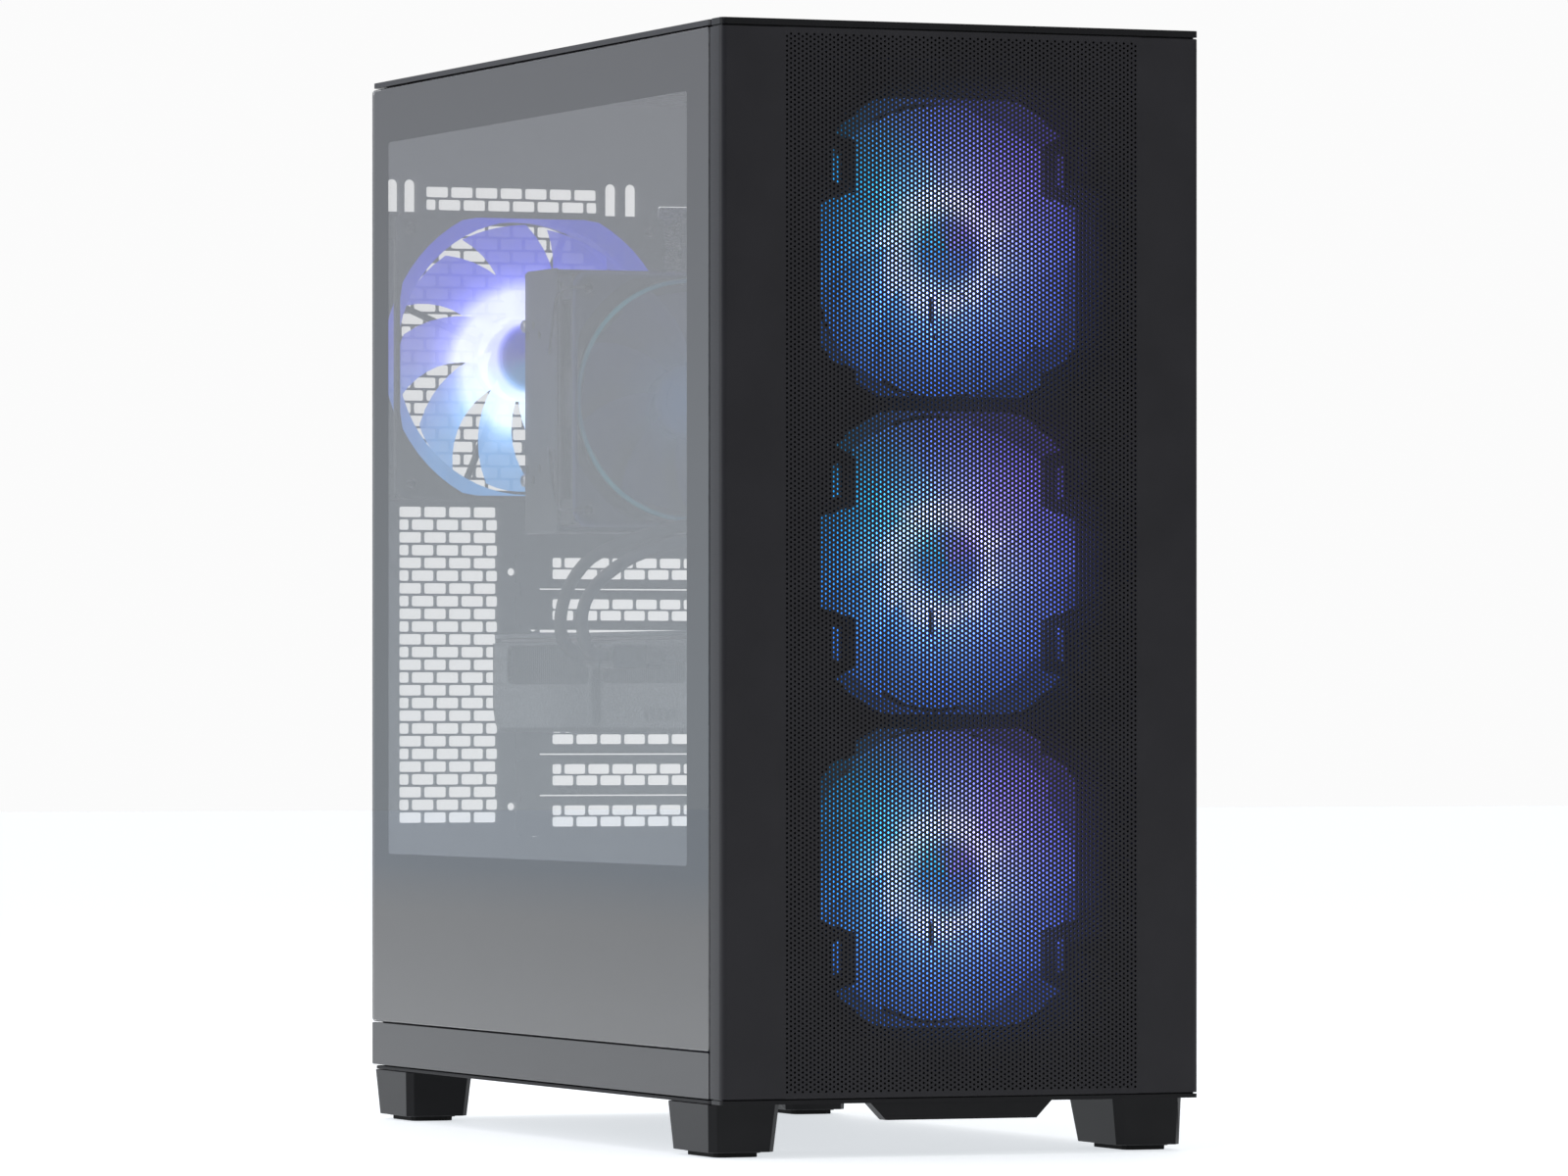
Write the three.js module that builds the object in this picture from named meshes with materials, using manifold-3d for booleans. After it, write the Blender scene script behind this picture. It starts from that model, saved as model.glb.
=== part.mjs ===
// Desktop computer tower: a mid-size steel case with a perforated front, a tempered glass side and four
// 140 mm fans, holding a motherboard, a tower CPU cooler, memory, a graphics card and a power supply.
// Millimetres, +Z up. The origin is on the floor, midway between the case's sides and its front and back.
// The perforated front faces -Y, the glass side -X and the ports +Y.
import * as THREE from "three";
import { mergeVertices } from "three/addons/utils/BufferGeometryUtils.js";
import Module from "manifold-3d";

const wasm = await Module();
wasm.setup();

// ---------------------------------------------------------------- driving dimensions
const WIDTH = 232;
const DEPTH = 470; // front face to the thumbscrew heads
const HEIGHT = 506;
const GAP = 0.4; // between pieces that touch on the real case
const STEEL = 1.2; // pressed sheet, paint included
const FAN = 140; // case fan frame, square
const FAN_DEPTH = 25;
const FAN_PITCH = 140.3; // front fans, centre to centre
const SLOT_PITCH = 20.32; // expansion slots

const HALF = WIDTH / 2;
const FRONT = -DEPTH / 2;
const SIDE_REAR = FRONT + 466; // rear edge of both side panels
const BODY_FRONT = FRONT + 15; // where the chassis starts, behind the front panel
const BASE_Z = 24.2; // underside of the case floor
const BODY_Z = 26.4; // lowest edge of the panels
const BODY_TOP = 502.6; // highest edge of the panels
const INNER_LEFT = -HALF + 4.4; // inside face of the glass, less a gap
const INNER_RIGHT = HALF - 1.6;
const REAR_PLATE = SIDE_REAR - 4.2; // inner face of the rear sheet
const SHROUD_Z = 117; // underside of the power supply cover
const TRAY_X = 86; // face of the sheet that carries the motherboard
const BOARD_X = 79.8; // component face of the motherboard
const CPU = { y: 110, z: 346.5 };
const REAR_FAN = { x: -41, z: 372 };
const FRONT_FAN_Z = [1, 0, -1].map((place) => 265.3 + place * FAN_PITCH);
const FIRST_SLOT_Z = 269.2; // centre of the top expansion slot
const PSU = { x: 15, y: 150, left: -60, right: 90, front: 68, bottom: 27.2, top: 113.2 };

// ---------------------------------------------------------------- materials
const paint = (color, roughness, metalness) =>
  new THREE.MeshStandardMaterial({ color, roughness, metalness });
const blackSteel = paint(0x2a2a2e, 0.55, 0.3);
const blackPlastic = paint(0x1d1d20, 0.6, 0);
const rubber = paint(0x111111, 0.9, 0);
const smokedGlass = paint(0x30343a, 0.05, 0);
const frosted = paint(0xc9d4ff, 0.4, 0);
const boardBlack = paint(0x15171a, 0.5, 0);
const finMetal = paint(0x8e9196, 0.35, 1);
const darkMetal = paint(0x3a3c40, 0.4, 0.8);
const plated = paint(0xa9abae, 0.3, 1);
const sleeve = paint(0x101012, 0.8, 0);

// ---------------------------------------------------------------- solids
// A three.js geometry as a manifold-3d solid.
function solidOf(geometry) {
  const bare = geometry.index ? geometry.toNonIndexed() : geometry.clone();
  bare.deleteAttribute("normal");
  bare.deleteAttribute("uv");
  const merged = mergeVertices(bare, 1e-3);
  return new wasm.Manifold(
    new wasm.Mesh({
      numProp: 3,
      vertProperties: new Float32Array(merged.attributes.position.array),
      triVerts: new Uint32Array(merged.index.array),
    }),
  );
}

function geometryOf(solid) {
  const mesh = solid.getMesh();
  const geometry = new THREE.BufferGeometry();
  geometry.setAttribute("position", new THREE.BufferAttribute(mesh.vertProperties, 3));
  geometry.setIndex(new THREE.BufferAttribute(mesh.triVerts, 1));
  geometry.computeVertexNormals();
  return geometry;
}

const join = (...geometries) => geometryOf(geometries.map(solidOf).reduce((a, b) => a.add(b)));
const cut = (from, ...tools) =>
  geometryOf(tools.map(solidOf).reduce((a, b) => a.subtract(b), solidOf(from)));

// A box between two limits on each axis.
function block([x0, x1], [y0, y1], [z0, z1]) {
  const box = new THREE.BoxGeometry(x1 - x0, y1 - y0, z1 - z0);
  return box.translate((x0 + x1) / 2, (y0 + y1) / 2, (z0 + z1) / 2);
}

// A loop of points without the doubled ones that arcs leave where they meet straight edges.
const withoutDoubles = (loop) =>
  loop.filter((point, i) => point.distanceTo(loop[(i || loop.length) - 1]) > 1e-3);

// An outline pushed along an axis between two limits. The outline is drawn in (y, z) for axis x,
// in (x, z) for axis y and in (x, y) for axis z.
function prism(axis, outline, [low, high], curveSegments = 1) {
  const loop = new THREE.Shape(withoutDoubles(outline.getPoints(curveSegments)));
  const solid = new THREE.ExtrudeGeometry(loop, { depth: high - low, bevelEnabled: false });
  if (axis === "x") return solid.rotateX(Math.PI / 2).rotateZ(Math.PI / 2).translate(low, 0, 0);
  if (axis === "y") return solid.rotateX(Math.PI / 2).translate(0, high, 0);
  return solid.translate(0, 0, low);
}

// A prism with openings punched right through it.
const plate = (axis, outline, [low, high], openings, curveSegments = 1) =>
  cut(
    prism(axis, outline, [low, high], curveSegments),
    ...openings.map((opening) => prism(axis, opening, [low - 1, high + 1], curveSegments)),
  );

// A straight round bar along an axis, centred on (a, b) in the same plane that prism uses.
function bar(axis, [a, b], radius, limits, curveSegments = 6) {
  return prism(axis, circle(a, b, radius), limits, curveSegments);
}

function rectangle(u0, u1, v0, v1, radius = 0) {
  const shape = new THREE.Shape();
  shape.moveTo(u0 + radius, v0);
  shape.lineTo(u1 - radius, v0);
  if (radius) shape.absarc(u1 - radius, v0 + radius, radius, -Math.PI / 2, 0, false);
  shape.lineTo(u1, v1 - radius);
  if (radius) shape.absarc(u1 - radius, v1 - radius, radius, 0, Math.PI / 2, false);
  shape.lineTo(u0 + radius, v1);
  if (radius) shape.absarc(u0 + radius, v1 - radius, radius, Math.PI / 2, Math.PI, false);
  shape.lineTo(u0, v0 + radius);
  if (radius) shape.absarc(u0 + radius, v0 + radius, radius, Math.PI, 1.5 * Math.PI, false);
  return shape;
}

function polygon(points) {
  const shape = new THREE.Shape();
  points.forEach(([u, v], i) => (i ? shape.lineTo(u, v) : shape.moveTo(u, v)));
  return shape;
}

function circle(u, v, radius) {
  const shape = new THREE.Shape();
  shape.absarc(u, v, radius, 0, 2 * Math.PI, false);
  return shape;
}

// A closed skin over rings that all have the same number of points, listed from one end to the other.
function loft(rings) {
  const count = rings[0].length;
  const positions = rings.flat().flatMap((p) => [p.x, p.y, p.z]);
  const index = [];
  for (let r = 0; r + 1 < rings.length; r++)
    for (let i = 0; i < count; i++) {
      const a = r * count + i;
      const b = r * count + ((i + 1) % count);
      index.push(a, b, a + count, b, b + count, a + count);
    }
  const last = (rings.length - 1) * count;
  for (let i = 1; i + 1 < count; i++) {
    index.push(0, i + 1, i);
    index.push(last, last + i, last + i + 1);
  }
  const geometry = new THREE.BufferGeometry();
  geometry.setAttribute("position", new THREE.BufferAttribute(new Float32Array(positions), 3));
  geometry.setIndex(index);
  return geometry;
}

// A round cable along a smooth curve through the points.
function cable(points, diameter, steps) {
  const section = new THREE.Shape();
  section.absarc(0, 0, diameter / 2, 0, 2 * Math.PI, false);
  const route = new THREE.CatmullRomCurve3(points.map((p) => new THREE.Vector3(...p)));
  return new THREE.ExtrudeGeometry(section, { extrudePath: route, steps, curveSegments: 4 });
}

const CORNERS = [[-1, -1], [-1, 1], [1, -1], [1, 1]];

const tower = new THREE.Group();
tower.name = "computer_tower";

function add(name, geometry, material, position = [0, 0, 0], parent = tower) {
  const mesh = new THREE.Mesh(geometry, material);
  mesh.name = name;
  mesh.position.set(...position);
  parent.add(mesh);
  return mesh;
}

// ---------------------------------------------------------------- case floor, feet and sheets
function basePlate() {
  const intake = rectangle(PSU.x - 62, PSU.x + 62, PSU.y - 62, PSU.y + 62, 8);
  const outline = rectangle(-HALF + 0.6, HALF - 0.6, BODY_FRONT, REAR_PLATE + STEEL, 2);
  const floor = plate("z", outline, [BASE_Z, BASE_Z + 1.6], [intake]);
  const rail = (wall, lip) =>
    join(
      block(wall, [80, REAR_PLATE], [20.4, BASE_Z + 0.5]),
      block(lip, [80, REAR_PLATE], [20.4, 21.2]),
    );
  return join(floor, rail([-53.6, -51.8], [-53, -49]), rail([79.4, 80.7], [76.8, 80]));
}

const FOOT = { width: 34, height: 21.5, padHeight: 2.2 };

// A tapered foot with cut corners. `side` is -1 on the left and 1 on the right.
function foot(side, y0, y1) {
  const ring = (x0, x1, ya, yb, z) => {
    const c = 3;
    return [
      [x0 + c, ya], [x1 - c, ya], [x1, ya + c], [x1, yb - c],
      [x1 - c, yb], [x0 + c, yb], [x0, yb - c], [x0, ya + c],
    ].map(([x, y]) => new THREE.Vector3(x, y, z));
  };
  const outer = side * (HALF - 0.8);
  const inner = side * (HALF - 0.8 - FOOT.width);
  const [x0, x1] = [Math.min(outer, inner), Math.max(outer, inner)];
  const [in0, in1] = side < 0 ? [0.6, 2.4] : [2.4, 0.6];
  const low = BASE_Z - 0.3 - FOOT.height;
  return loft([
    ring(x0 + in0, x1 - in1, y0 + 1, y1 - 5, low),
    ring(x0, x1, y0, y1, BASE_Z - 0.3),
  ]);
}

function footPad(side, y0, y1) {
  const [x0, x1] = side < 0 ? [-HALF + 6, -HALF + 27] : [HALF - 27, HALF - 6];
  return prism("z", rectangle(x0, x1, y0 + 6, y1 - 10, 4), [0, FOOT.padHeight]);
}

// The rear sheet: openings for the ports, the expansion slots and the power supply. Its vents are
// thousands of small punched bricks, which this sheet leaves plain.
function rearPanel() {
  const ports = rectangle(35.5, 80, 290, 448.8);
  const slots = rectangle(-27, 82, FIRST_SLOT_Z - 6.5 * SLOT_PITCH + 1.5, FIRST_SLOT_Z + 9.2);
  const supply = rectangle(PSU.left + 3, PSU.right - 3, PSU.bottom + 4, PSU.top - 3, 4);
  const screws = THUMBSCREW_Z.map((z) => circle(THUMBSCREW_X, z, 2.4));
  const outline = rectangle(INNER_LEFT, INNER_RIGHT, BODY_Z, BODY_TOP - 0.4, 2);
  return plate("y", outline, [REAR_PLATE, REAR_PLATE + STEEL], [ports, slots, supply, ...screws], 3);
}

function motherboardTray() {
  const cableHoles = [[150, 215], [250, 305], [340, 405]].map(([z0, z1]) =>
    rectangle(-52, -30, z0, z1, 6),
  );
  const cpuHole = rectangle(CPU.y - 55, CPU.y + 55, CPU.z - 60, CPU.z + 60, 6);
  const topHole = rectangle(60, 120, 450, 470, 6);
  const sheet = plate(
    "x",
    rectangle(BODY_FRONT + 1.8, REAR_PLATE - GAP, SHROUD_Z + 1.9, 498),
    [TRAY_X, TRAY_X + STEEL],
    [...cableHoles, cpuHole, topHole, rectangle(BODY_FRONT, -180, 486, 500)],
  );
  const standoffs = [];
  for (const y of [216, 180.5, -8])
    for (const z of [146, 278, 438])
      if (y !== 180.5 || z !== 278)
        standoffs.push(bar("x", [y, z], 2.8, [BOARD_X + 1.6 + GAP, TRAY_X + 0.5], 3));
  return join(sheet, ...standoffs);
}

// Half the outline of one end of a fan opening, from its middle line out to its side, as (across, up).
// A notched end goes in round the slots for the fan's screws.
const FAN_SIDE = 62.8;
const notchedEnd = (reach) => [
  [35, reach], [55.6, 56], [55.6, 51.7], [46, 47.5], [46, 25], [FAN_SIDE, 20],
];
const PLAIN_END = [[35, 66], [45.4, 60.2], [45.4, 54.3], [56.4, 50.6], [FAN_SIDE, 43.6]];
const FAN_OPENINGS = [
  { top: notchedEnd(71.2), bottom: PLAIN_END, slots: [1] },
  { top: notchedEnd(69.4), bottom: notchedEnd(67.8), slots: [1, -1] },
  { top: PLAIN_END, bottom: notchedEnd(71.2), slots: [-1] },
];

function fanOpening({ top, bottom }, z) {
  const corner = (points, sx, sz) => points.map(([x, dz]) => [sx * x, z + sz * dz]);
  return polygon([
    ...corner(top, -1, 1),
    ...corner(bottom, -1, -1).reverse(),
    ...corner(bottom, 1, -1),
    ...corner(top, 1, 1).reverse(),
  ]);
}

const screwSlots = ({ slots }, z) =>
  slots.flatMap((sz) =>
    [-1, 1].map((sx) =>
      rectangle(sx * 54.4 - 2.2, sx * 54.4 + 2.2, z + sz * 36.5 - 7.4, z + sz * 36.5 + 7.4),
    ),
  );

function frontChassisFrame() {
  return plate(
    "y",
    rectangle(INNER_LEFT, INNER_RIGHT, BODY_Z, 498, 2),
    [BODY_FRONT + 0.2, BODY_FRONT + 0.2 + STEEL],
    FAN_OPENINGS.flatMap((ends, i) => [
      fanOpening(ends, FRONT_FAN_Z[i]),
      ...screwSlots(ends, FRONT_FAN_Z[i]),
    ]),
  );
}

function topChassisFrame() {
  const vent = rectangle(-66, 66, -160, 205, 8);
  const portWell = rectangle(0, INNER_RIGHT - 2, -210, -180, 2);
  const outline = rectangle(INNER_LEFT, INNER_RIGHT, BODY_FRONT + 1.8, REAR_PLATE - GAP);
  return plate("z", outline, [498.4, 498.4 + STEEL], [vent, portWell]);
}

// The cover over the power supply, folded from one sheet: a shelf and the wall behind the glass.
function psuShroud() {
  const left = INNER_LEFT + 0.8;
  const top = SHROUD_Z + STEEL;
  const profile = polygon([
    [left, BODY_Z], [left + STEEL, BODY_Z], [left + STEEL, SHROUD_Z],
    [INNER_RIGHT - 0.4, SHROUD_Z], [INNER_RIGHT - 0.4, top], [left, top],
  ]);
  return prism("y", profile, [-165, REAR_PLATE - GAP]);
}

// ---------------------------------------------------------------- outer panels
const COVER = { low: 26.6, high: 502.4, back: BODY_FRONT - 1.5, corner: 3 };

// The steel front: a flat face with both sides folded back. Its middle is perforated from edge to edge,
// which this sheet leaves plain.
function frontCover() {
  const t = STEEL;
  const r = COVER.corner;
  const c = new THREE.Shape();
  c.moveTo(-HALF, COVER.back);
  c.lineTo(-HALF, FRONT + r);
  c.absarc(-HALF + r, FRONT + r, r, Math.PI, 1.5 * Math.PI, false);
  c.lineTo(HALF - r, FRONT);
  c.absarc(HALF - r, FRONT + r, r, -Math.PI / 2, 0, false);
  c.lineTo(HALF, COVER.back);
  c.lineTo(HALF - t, COVER.back);
  c.lineTo(HALF - t, FRONT + r);
  c.absarc(HALF - r, FRONT + r, r - t, 0, -Math.PI / 2, true);
  c.lineTo(-HALF + r, FRONT + t);
  c.absarc(-HALF + r, FRONT + r, r - t, 1.5 * Math.PI, Math.PI, true);
  c.lineTo(-HALF + t, COVER.back);
  return prism("z", c, [COVER.low, COVER.high], 3);
}

// The moulded frame behind the steel front. Its lips show above and below the steel, and the pull tab
// hangs from the lower one.
function frontPanelFrame() {
  const inset = 1.7;
  const ring = plate(
    "y",
    rectangle(-HALF + inset, HALF - inset, 25, 503.5),
    [FRONT + STEEL + 1.4, BODY_FRONT - 1],
    [rectangle(-92, 92, 38, 490, 4)],
  );
  const lip = (z0, z1) =>
    prism("z", rectangle(-HALF + 0.2, HALF - 0.2, FRONT, BODY_FRONT - 1, 2.4), [z0, z1], 2);
  const tab = polygon([[-45, BASE_Z + 1], [-36.5, 16.4], [36.5, 16.4], [45, BASE_Z + 1]]);
  return join(
    ring,
    lip(BASE_Z, 26),
    lip(503.1, HEIGHT),
    prism("y", tab, [FRONT + 1.2, FRONT + 9]),
  );
}

function glassPanel() {
  return prism("x", rectangle(BODY_FRONT, SIDE_REAR, 47.4, BODY_TOP, 2), [-HALF, -HALF + 4], 2);
}

function sideSill() {
  return prism("x", rectangle(BODY_FRONT, SIDE_REAR, BODY_Z, 46.9, 0.8), [-HALF, -HALF + 4]);
}

const THUMBSCREW_X = 105;
const THUMBSCREW_Z = [440, 90];

// The plain steel side, with a rear flange that the thumbscrews hold.
function sidePanelRight() {
  const sheet = prism("x", rectangle(BODY_FRONT, SIDE_REAR, BODY_Z, BODY_TOP, 2), [HALF - STEEL, HALF]);
  const flangeY = REAR_PLATE + STEEL + GAP;
  const flange = plate(
    "y",
    rectangle(96, HALF - 0.5, 30, BODY_TOP - 4),
    [flangeY, flangeY + STEEL],
    THUMBSCREW_Z.map((z) => circle(THUMBSCREW_X, z, 2.4)),
    3,
  );
  return join(sheet, flange);
}

function thumbscrew(z) {
  const underHead = REAR_PLATE + 2 * STEEL + 2 * GAP;
  return join(
    bar("y", [THUMBSCREW_X, z], 5, [underHead, DEPTH / 2], 7),
    bar("y", [THUMBSCREW_X, z], 1.9, [REAR_PLATE - 3, underHead + 1], 4),
  );
}

const VENT = { x: 74, front: -165, rear: 212, ledge: 6 };
const BUTTONS = { power: [98, 8], led_mode: [20, 4.5], led_colour: [8, 4.5] };
const PORT_Y = -195;
const USB_A = [48, 68];
const USB_C = 33;
const AUDIO = 82;

function topPanel() {
  const { x, front, rear, ledge } = VENT;
  const through = [502, HEIGHT + 1];
  const port = (u, halfX, halfY) =>
    block([u - halfX, u + halfX], [PORT_Y - halfY, PORT_Y + halfY], through);
  return cut(
    prism("z", rectangle(-HALF + 0.4, HALF - 0.4, BODY_FRONT - 0.4, SIDE_REAR, 2), [503.4, HEIGHT]),
    block([-x, x], [front, rear], [504.4, HEIGHT + 1]),
    block([-x + ledge, x - ledge], [front + ledge, rear - ledge], through),
    ...Object.values(BUTTONS).map(([u, r]) => bar("z", [u, PORT_Y], r + 0.5, through, r > 6 ? 7 : 5)),
    ...USB_A.map((u) => port(u, 7.6, 4.1)),
    port(USB_C, 5.4, 2.7),
    bar("z", [AUDIO, PORT_Y], 3.9, through, 6),
  );
}

function topFilter() {
  const { x, front, rear } = VENT;
  const edge = 0.4;
  return prism("z", rectangle(-x + edge, x - edge, front + edge, rear - edge, 3), [504.8, 505.9]);
}

// The board of sockets under the roof. Its shells reach up through the roof's openings.
function frontIoModule() {
  const boardTop = 500.8;
  const usbA = USB_A.map((u) => block([u - 7.2, u + 7.2], [PORT_Y - 3.7, PORT_Y + 3.7], [boardTop - 1, 505.7]));
  const usbC = block([USB_C - 5, USB_C + 5], [PORT_Y - 2.3, PORT_Y + 2.3], [boardTop - 1, 505.7]);
  const jack = bar("z", [AUDIO, PORT_Y], 3.5, [boardTop - 1, 505.7], 6);
  const body = join(
    block([2, 110], [-206, -184], [489, boardTop]), ...usbA, usbC, jack,
  );
  const sockets = [
    ...USB_A.flatMap((u) => [
      block([u - 6.4, u + 6.4], [PORT_Y - 2.9, PORT_Y - 0.4], [492, 510]),
      block([u - 6.4, u + 6.4], [PORT_Y - 0.5, PORT_Y + 2.9], [494, 510]),
    ]),
    block([USB_C - 4.3, USB_C + 4.3], [PORT_Y - 1.5, PORT_Y + 1.5], [494, 510]),
    bar("z", [AUDIO, PORT_Y], 1.8, [491, 510], 5),
  ];
  return cut(body, ...sockets);
}

function button([u, radius]) {
  return bar("z", [u, PORT_Y], radius, [502.4, 505.8], radius > 6 ? 7 : 5);
}

// ---------------------------------------------------------------- fans
// A fan frame with its intake at y = 0 and its motor plate and struts at the exhaust side.
function fanFrame(size, depth, screwSpacing) {
  const h = size / 2;
  const s = screwSpacing / 2;
  const plateFront = depth - 4;
  const ring = cut(
    prism("y", rectangle(-h, h, -h, h, 5), [0, depth]),
    bar("y", [0, 0], h - 2.8, [-1, depth + 1], 14),
    ...CORNERS.map(([sx, sz]) => bar("y", [sx * s, sz * s], 2.2, [-1, depth + 1], 3)),
  );
  const strut = (angle) =>
    block([15, h - 2], [-0.1 + plateFront, depth - 0.3], [-1.6, 1.6]).rotateY(angle);
  return join(
    ring,
    bar("y", [0, 0], 22, [plateFront, depth - 0.2], 8),
    ...[0.4, 1.97, 3.54, 5.11].map(strut),
  );
}

// A rotor: a hub cup and swept, twisted blades. Its intake side is at y = front.
function fanRotor({ hub, tip, blades, front, back, chord, turn = 1 }) {
  const middle = (front + back) / 2;
  const stations = [hub - 1.5, (hub + tip) / 2, tip];
  const blade = (k) =>
    loft(
      stations.map((r, i) => {
        const pitch = THREE.MathUtils.degToRad(44 - 9 * i);
        const half = (chord * (0.85 + 0.2 * i)) / 2;
        const lead = 0.16 * i;
        return [[-1, 1], [1, 1], [1, -1], [-1, -1]].map(([along, face]) => {
          const run = along * half * Math.cos(pitch) - face * 0.7 * Math.sin(pitch);
          const angle = (2 * Math.PI * k) / blades + turn * (lead + run / r);
          const rise = along * half * Math.sin(pitch) + face * 0.7 * Math.cos(pitch);
          return new THREE.Vector3(r * Math.cos(angle), middle + rise, r * Math.sin(angle));
        });
      }),
    );
  const all = Array.from({ length: blades }, (_, k) => blade(k));
  return join(bar("y", [0, 0], hub, [front, back], 8), ...all);
}

const CASE_ROTOR = { hub: 21, tip: 65.6, blades: 9, front: 1.6, back: 20.4, chord: 25 };

function caseFan(name, [x, y, z]) {
  add(`${name}_frame`, fanFrame(FAN, FAN_DEPTH, 124.5), blackPlastic, [x, y, z]);
  add(`${name}_rotor`, fanRotor(CASE_ROTOR), frosted, [x, y, z]);
}

// ---------------------------------------------------------------- motherboard and cooler
const MEMORY_Y = [50, 40.6, 31.2, 21.8]; // front edges of the memory slots

// The printed board with what is soldered to it: the socket and processor, memory, graphics and power
// connectors.
function motherboard() {
  const onBoard = (height, y, z) => block([BOARD_X - height, BOARD_X + 0.2], y, z);
  return join(
    prism("x", rectangle(-21, 223, 139.5, 444.5, 2), [BOARD_X, BOARD_X + 1.6]),
    onBoard(5.5, [CPU.y - 26, CPU.y + 26], [CPU.z - 30, CPU.z + 30]),
    onBoard(8, [CPU.y - 20, CPU.y + 20], [CPU.z - 20, CPU.z + 20]),
    ...MEMORY_Y.map((y) => onBoard(7, [y, y + 7], [282, 418])),
    onBoard(10, [100, 190], [230.5, 237.5]),
    onBoard(9, [150, 190], [170, 176.5]),
    onBoard(11, [-19.5, -9.5], [290, 342]),
    onBoard(10, [158, 177], [433.4, 443.4]),
  );
}

function vrmHeatsink() {
  return prism(
    "x",
    polygon([[166, 295], [186, 295], [186, 431], [84, 431], [84, 416], [166, 416]]),
    [56, BOARD_X - GAP],
  );
}

const m2Heatsink = () => block([72.5, BOARD_X - GAP], [70, 162], [247, 270]);

// The stack of rear sockets with its cover plate, which fills the port opening.
function rearIoBlock() {
  const stack = block([41, BOARD_X - GAP], [192, 226.6], [296, 441]);
  const shield = block([35.9, 79.5], [226.4, 228.4], [290.4, 448.4]);
  const recess = (z0, z1, x0 = 48, x1 = 76) => block([x0, x1], [214, 230], [z0, z1]);
  return cut(
    join(stack, shield),
    recess(300, 312), recess(318, 330), recess(336, 350), recess(356, 372), recess(378, 392),
    recess(398, 412), recess(419, 435, 56, 72),
  );
}

const FIN_STACK = { x: [-75, 30], y: [73.4, 118], z: [CPU.z - 63, CPU.z + 63] };

// A comb outline: plates that stand out on both sides of a spine, `count` of them between two limits.
function comb([low, high], count, thickness, spine, half) {
  const step = (high - low - thickness) / (count - 1);
  const side = (s) =>
    Array.from({ length: count }, (_, k) => {
      const u = low + k * step;
      return [[u, s * spine], [u, s * half], [u + thickness, s * half], [u + thickness, s * spine]];
    }).flat();
  return [...side(-1), ...side(1).reverse()];
}

function coolerFins() {
  const [y0, y1] = FIN_STACK.y;
  const middle = (y0 + y1) / 2;
  const outline = comb(FIN_STACK.x, 16, 1, 7, (y1 - y0) / 2).map(([x, v]) => [x, middle + v]);
  return prism("z", polygon(outline), FIN_STACK.z);
}

// The cold plate, its clamp bar and the heat pipes up to the fins.
function coolerBase() {
  const face = BOARD_X - 8 - GAP;
  const pipes = [-12, -4, 4, 12].map((dy) =>
    bar("x", [CPU.y + dy, CPU.z], 3, [FIN_STACK.x[1] + GAP, face - 5], 4),
  );
  return join(
    block([face - 11, face], [CPU.y - 21, CPU.y + 21], [CPU.z - 21, CPU.z + 21]),
    block([face - 8, face - 5], [CPU.y - 6, CPU.y + 6], [CPU.z - 44, CPU.z + 44]),
    ...pipes,
  );
}

const ramModule = (y) => block([36, BOARD_X - 7 - GAP], [y + 0.4, y + 6.6], [283.5, 416.8]);

// ---------------------------------------------------------------- graphics card
const CARD = { left: -54, right: 69.4, front: -54, rear: 220, low: 193, board: 232.6, top: 236.8 };
const CARD_FAN_Y = [136, 30];

function gpuShroud() {
  const { left, right, front, rear, low, board } = CARD;
  const wall = 2.2;
  const shell = cut(
    prism("x", polygon([
      [front, board - GAP], [front, low + 8], [front + 8, low], [rear - 8, low], [rear, low + 8],
      [rear, board - GAP],
    ]), [left, right]),
    block([left + wall, right - wall], [front + wall, rear - wall], [low + 16, board + 1]),
    ...CARD_FAN_Y.map((y) => bar("z", [(left + right) / 2, y], 47.5, [low - 1, low + 17], 12)),
  );
  const spider = CARD_FAN_Y.flatMap((y) => [
    bar("z", [(left + right) / 2, y], 14, [low + 15, low + 17], 5),
    block([left + 1, right - 1], [y - 2.5, y + 2.5], [low + 15, low + 17]),
  ]);
  return join(shell, ...spider);
}

function gpuHeatsink() {
  const { left, right, front, rear, low, board } = CARD;
  const step = (z) => low + z;
  const outline = [[rear - 6, board - GAP], [front + 6, board - GAP]];
  const count = 20;
  const pitch = (rear - front - 12) / (2 * count - 1);
  for (let k = 0; k < 2 * count; k++) {
    const y = front + 6 + k * pitch;
    const [z0, z1] = k % 2 ? [step(18), step(33)] : [step(33), step(18)];
    if (k) outline.push([y, z0]);
    outline.push([y, k ? z1 : step(18)]);
  }
  outline.push([rear - 6, step(18)]);
  return prism("x", polygon(outline), [left + 6, right - 6]);
}

// The card's printed board and backplate, with the power socket on its outer edge.
function gpuBoard() {
  const { left, right, front, rear, board, top } = CARD;
  return join(
    block([left + 3, right], [front + 3, rear - 2], [board, board + 1.8]),
    block([left, right - 4], [front, rear], [board + 1.6, top]),
  );
}

function gpuBracket() {
  const z0 = FIRST_SLOT_Z - 3.5 * SLOT_PITCH + 1;
  const z1 = FIRST_SLOT_Z - 1.5 * SLOT_PITCH - 1;
  const sheet = block([-33, 84], [REAR_PLATE - 1.3, REAR_PLATE - 0.3], [z0, z1]);
  const ears = block([30, 60], [CARD.rear + GAP, REAR_PLATE - 1], [232, 234]);
  return join(sheet, ears);
}

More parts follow.
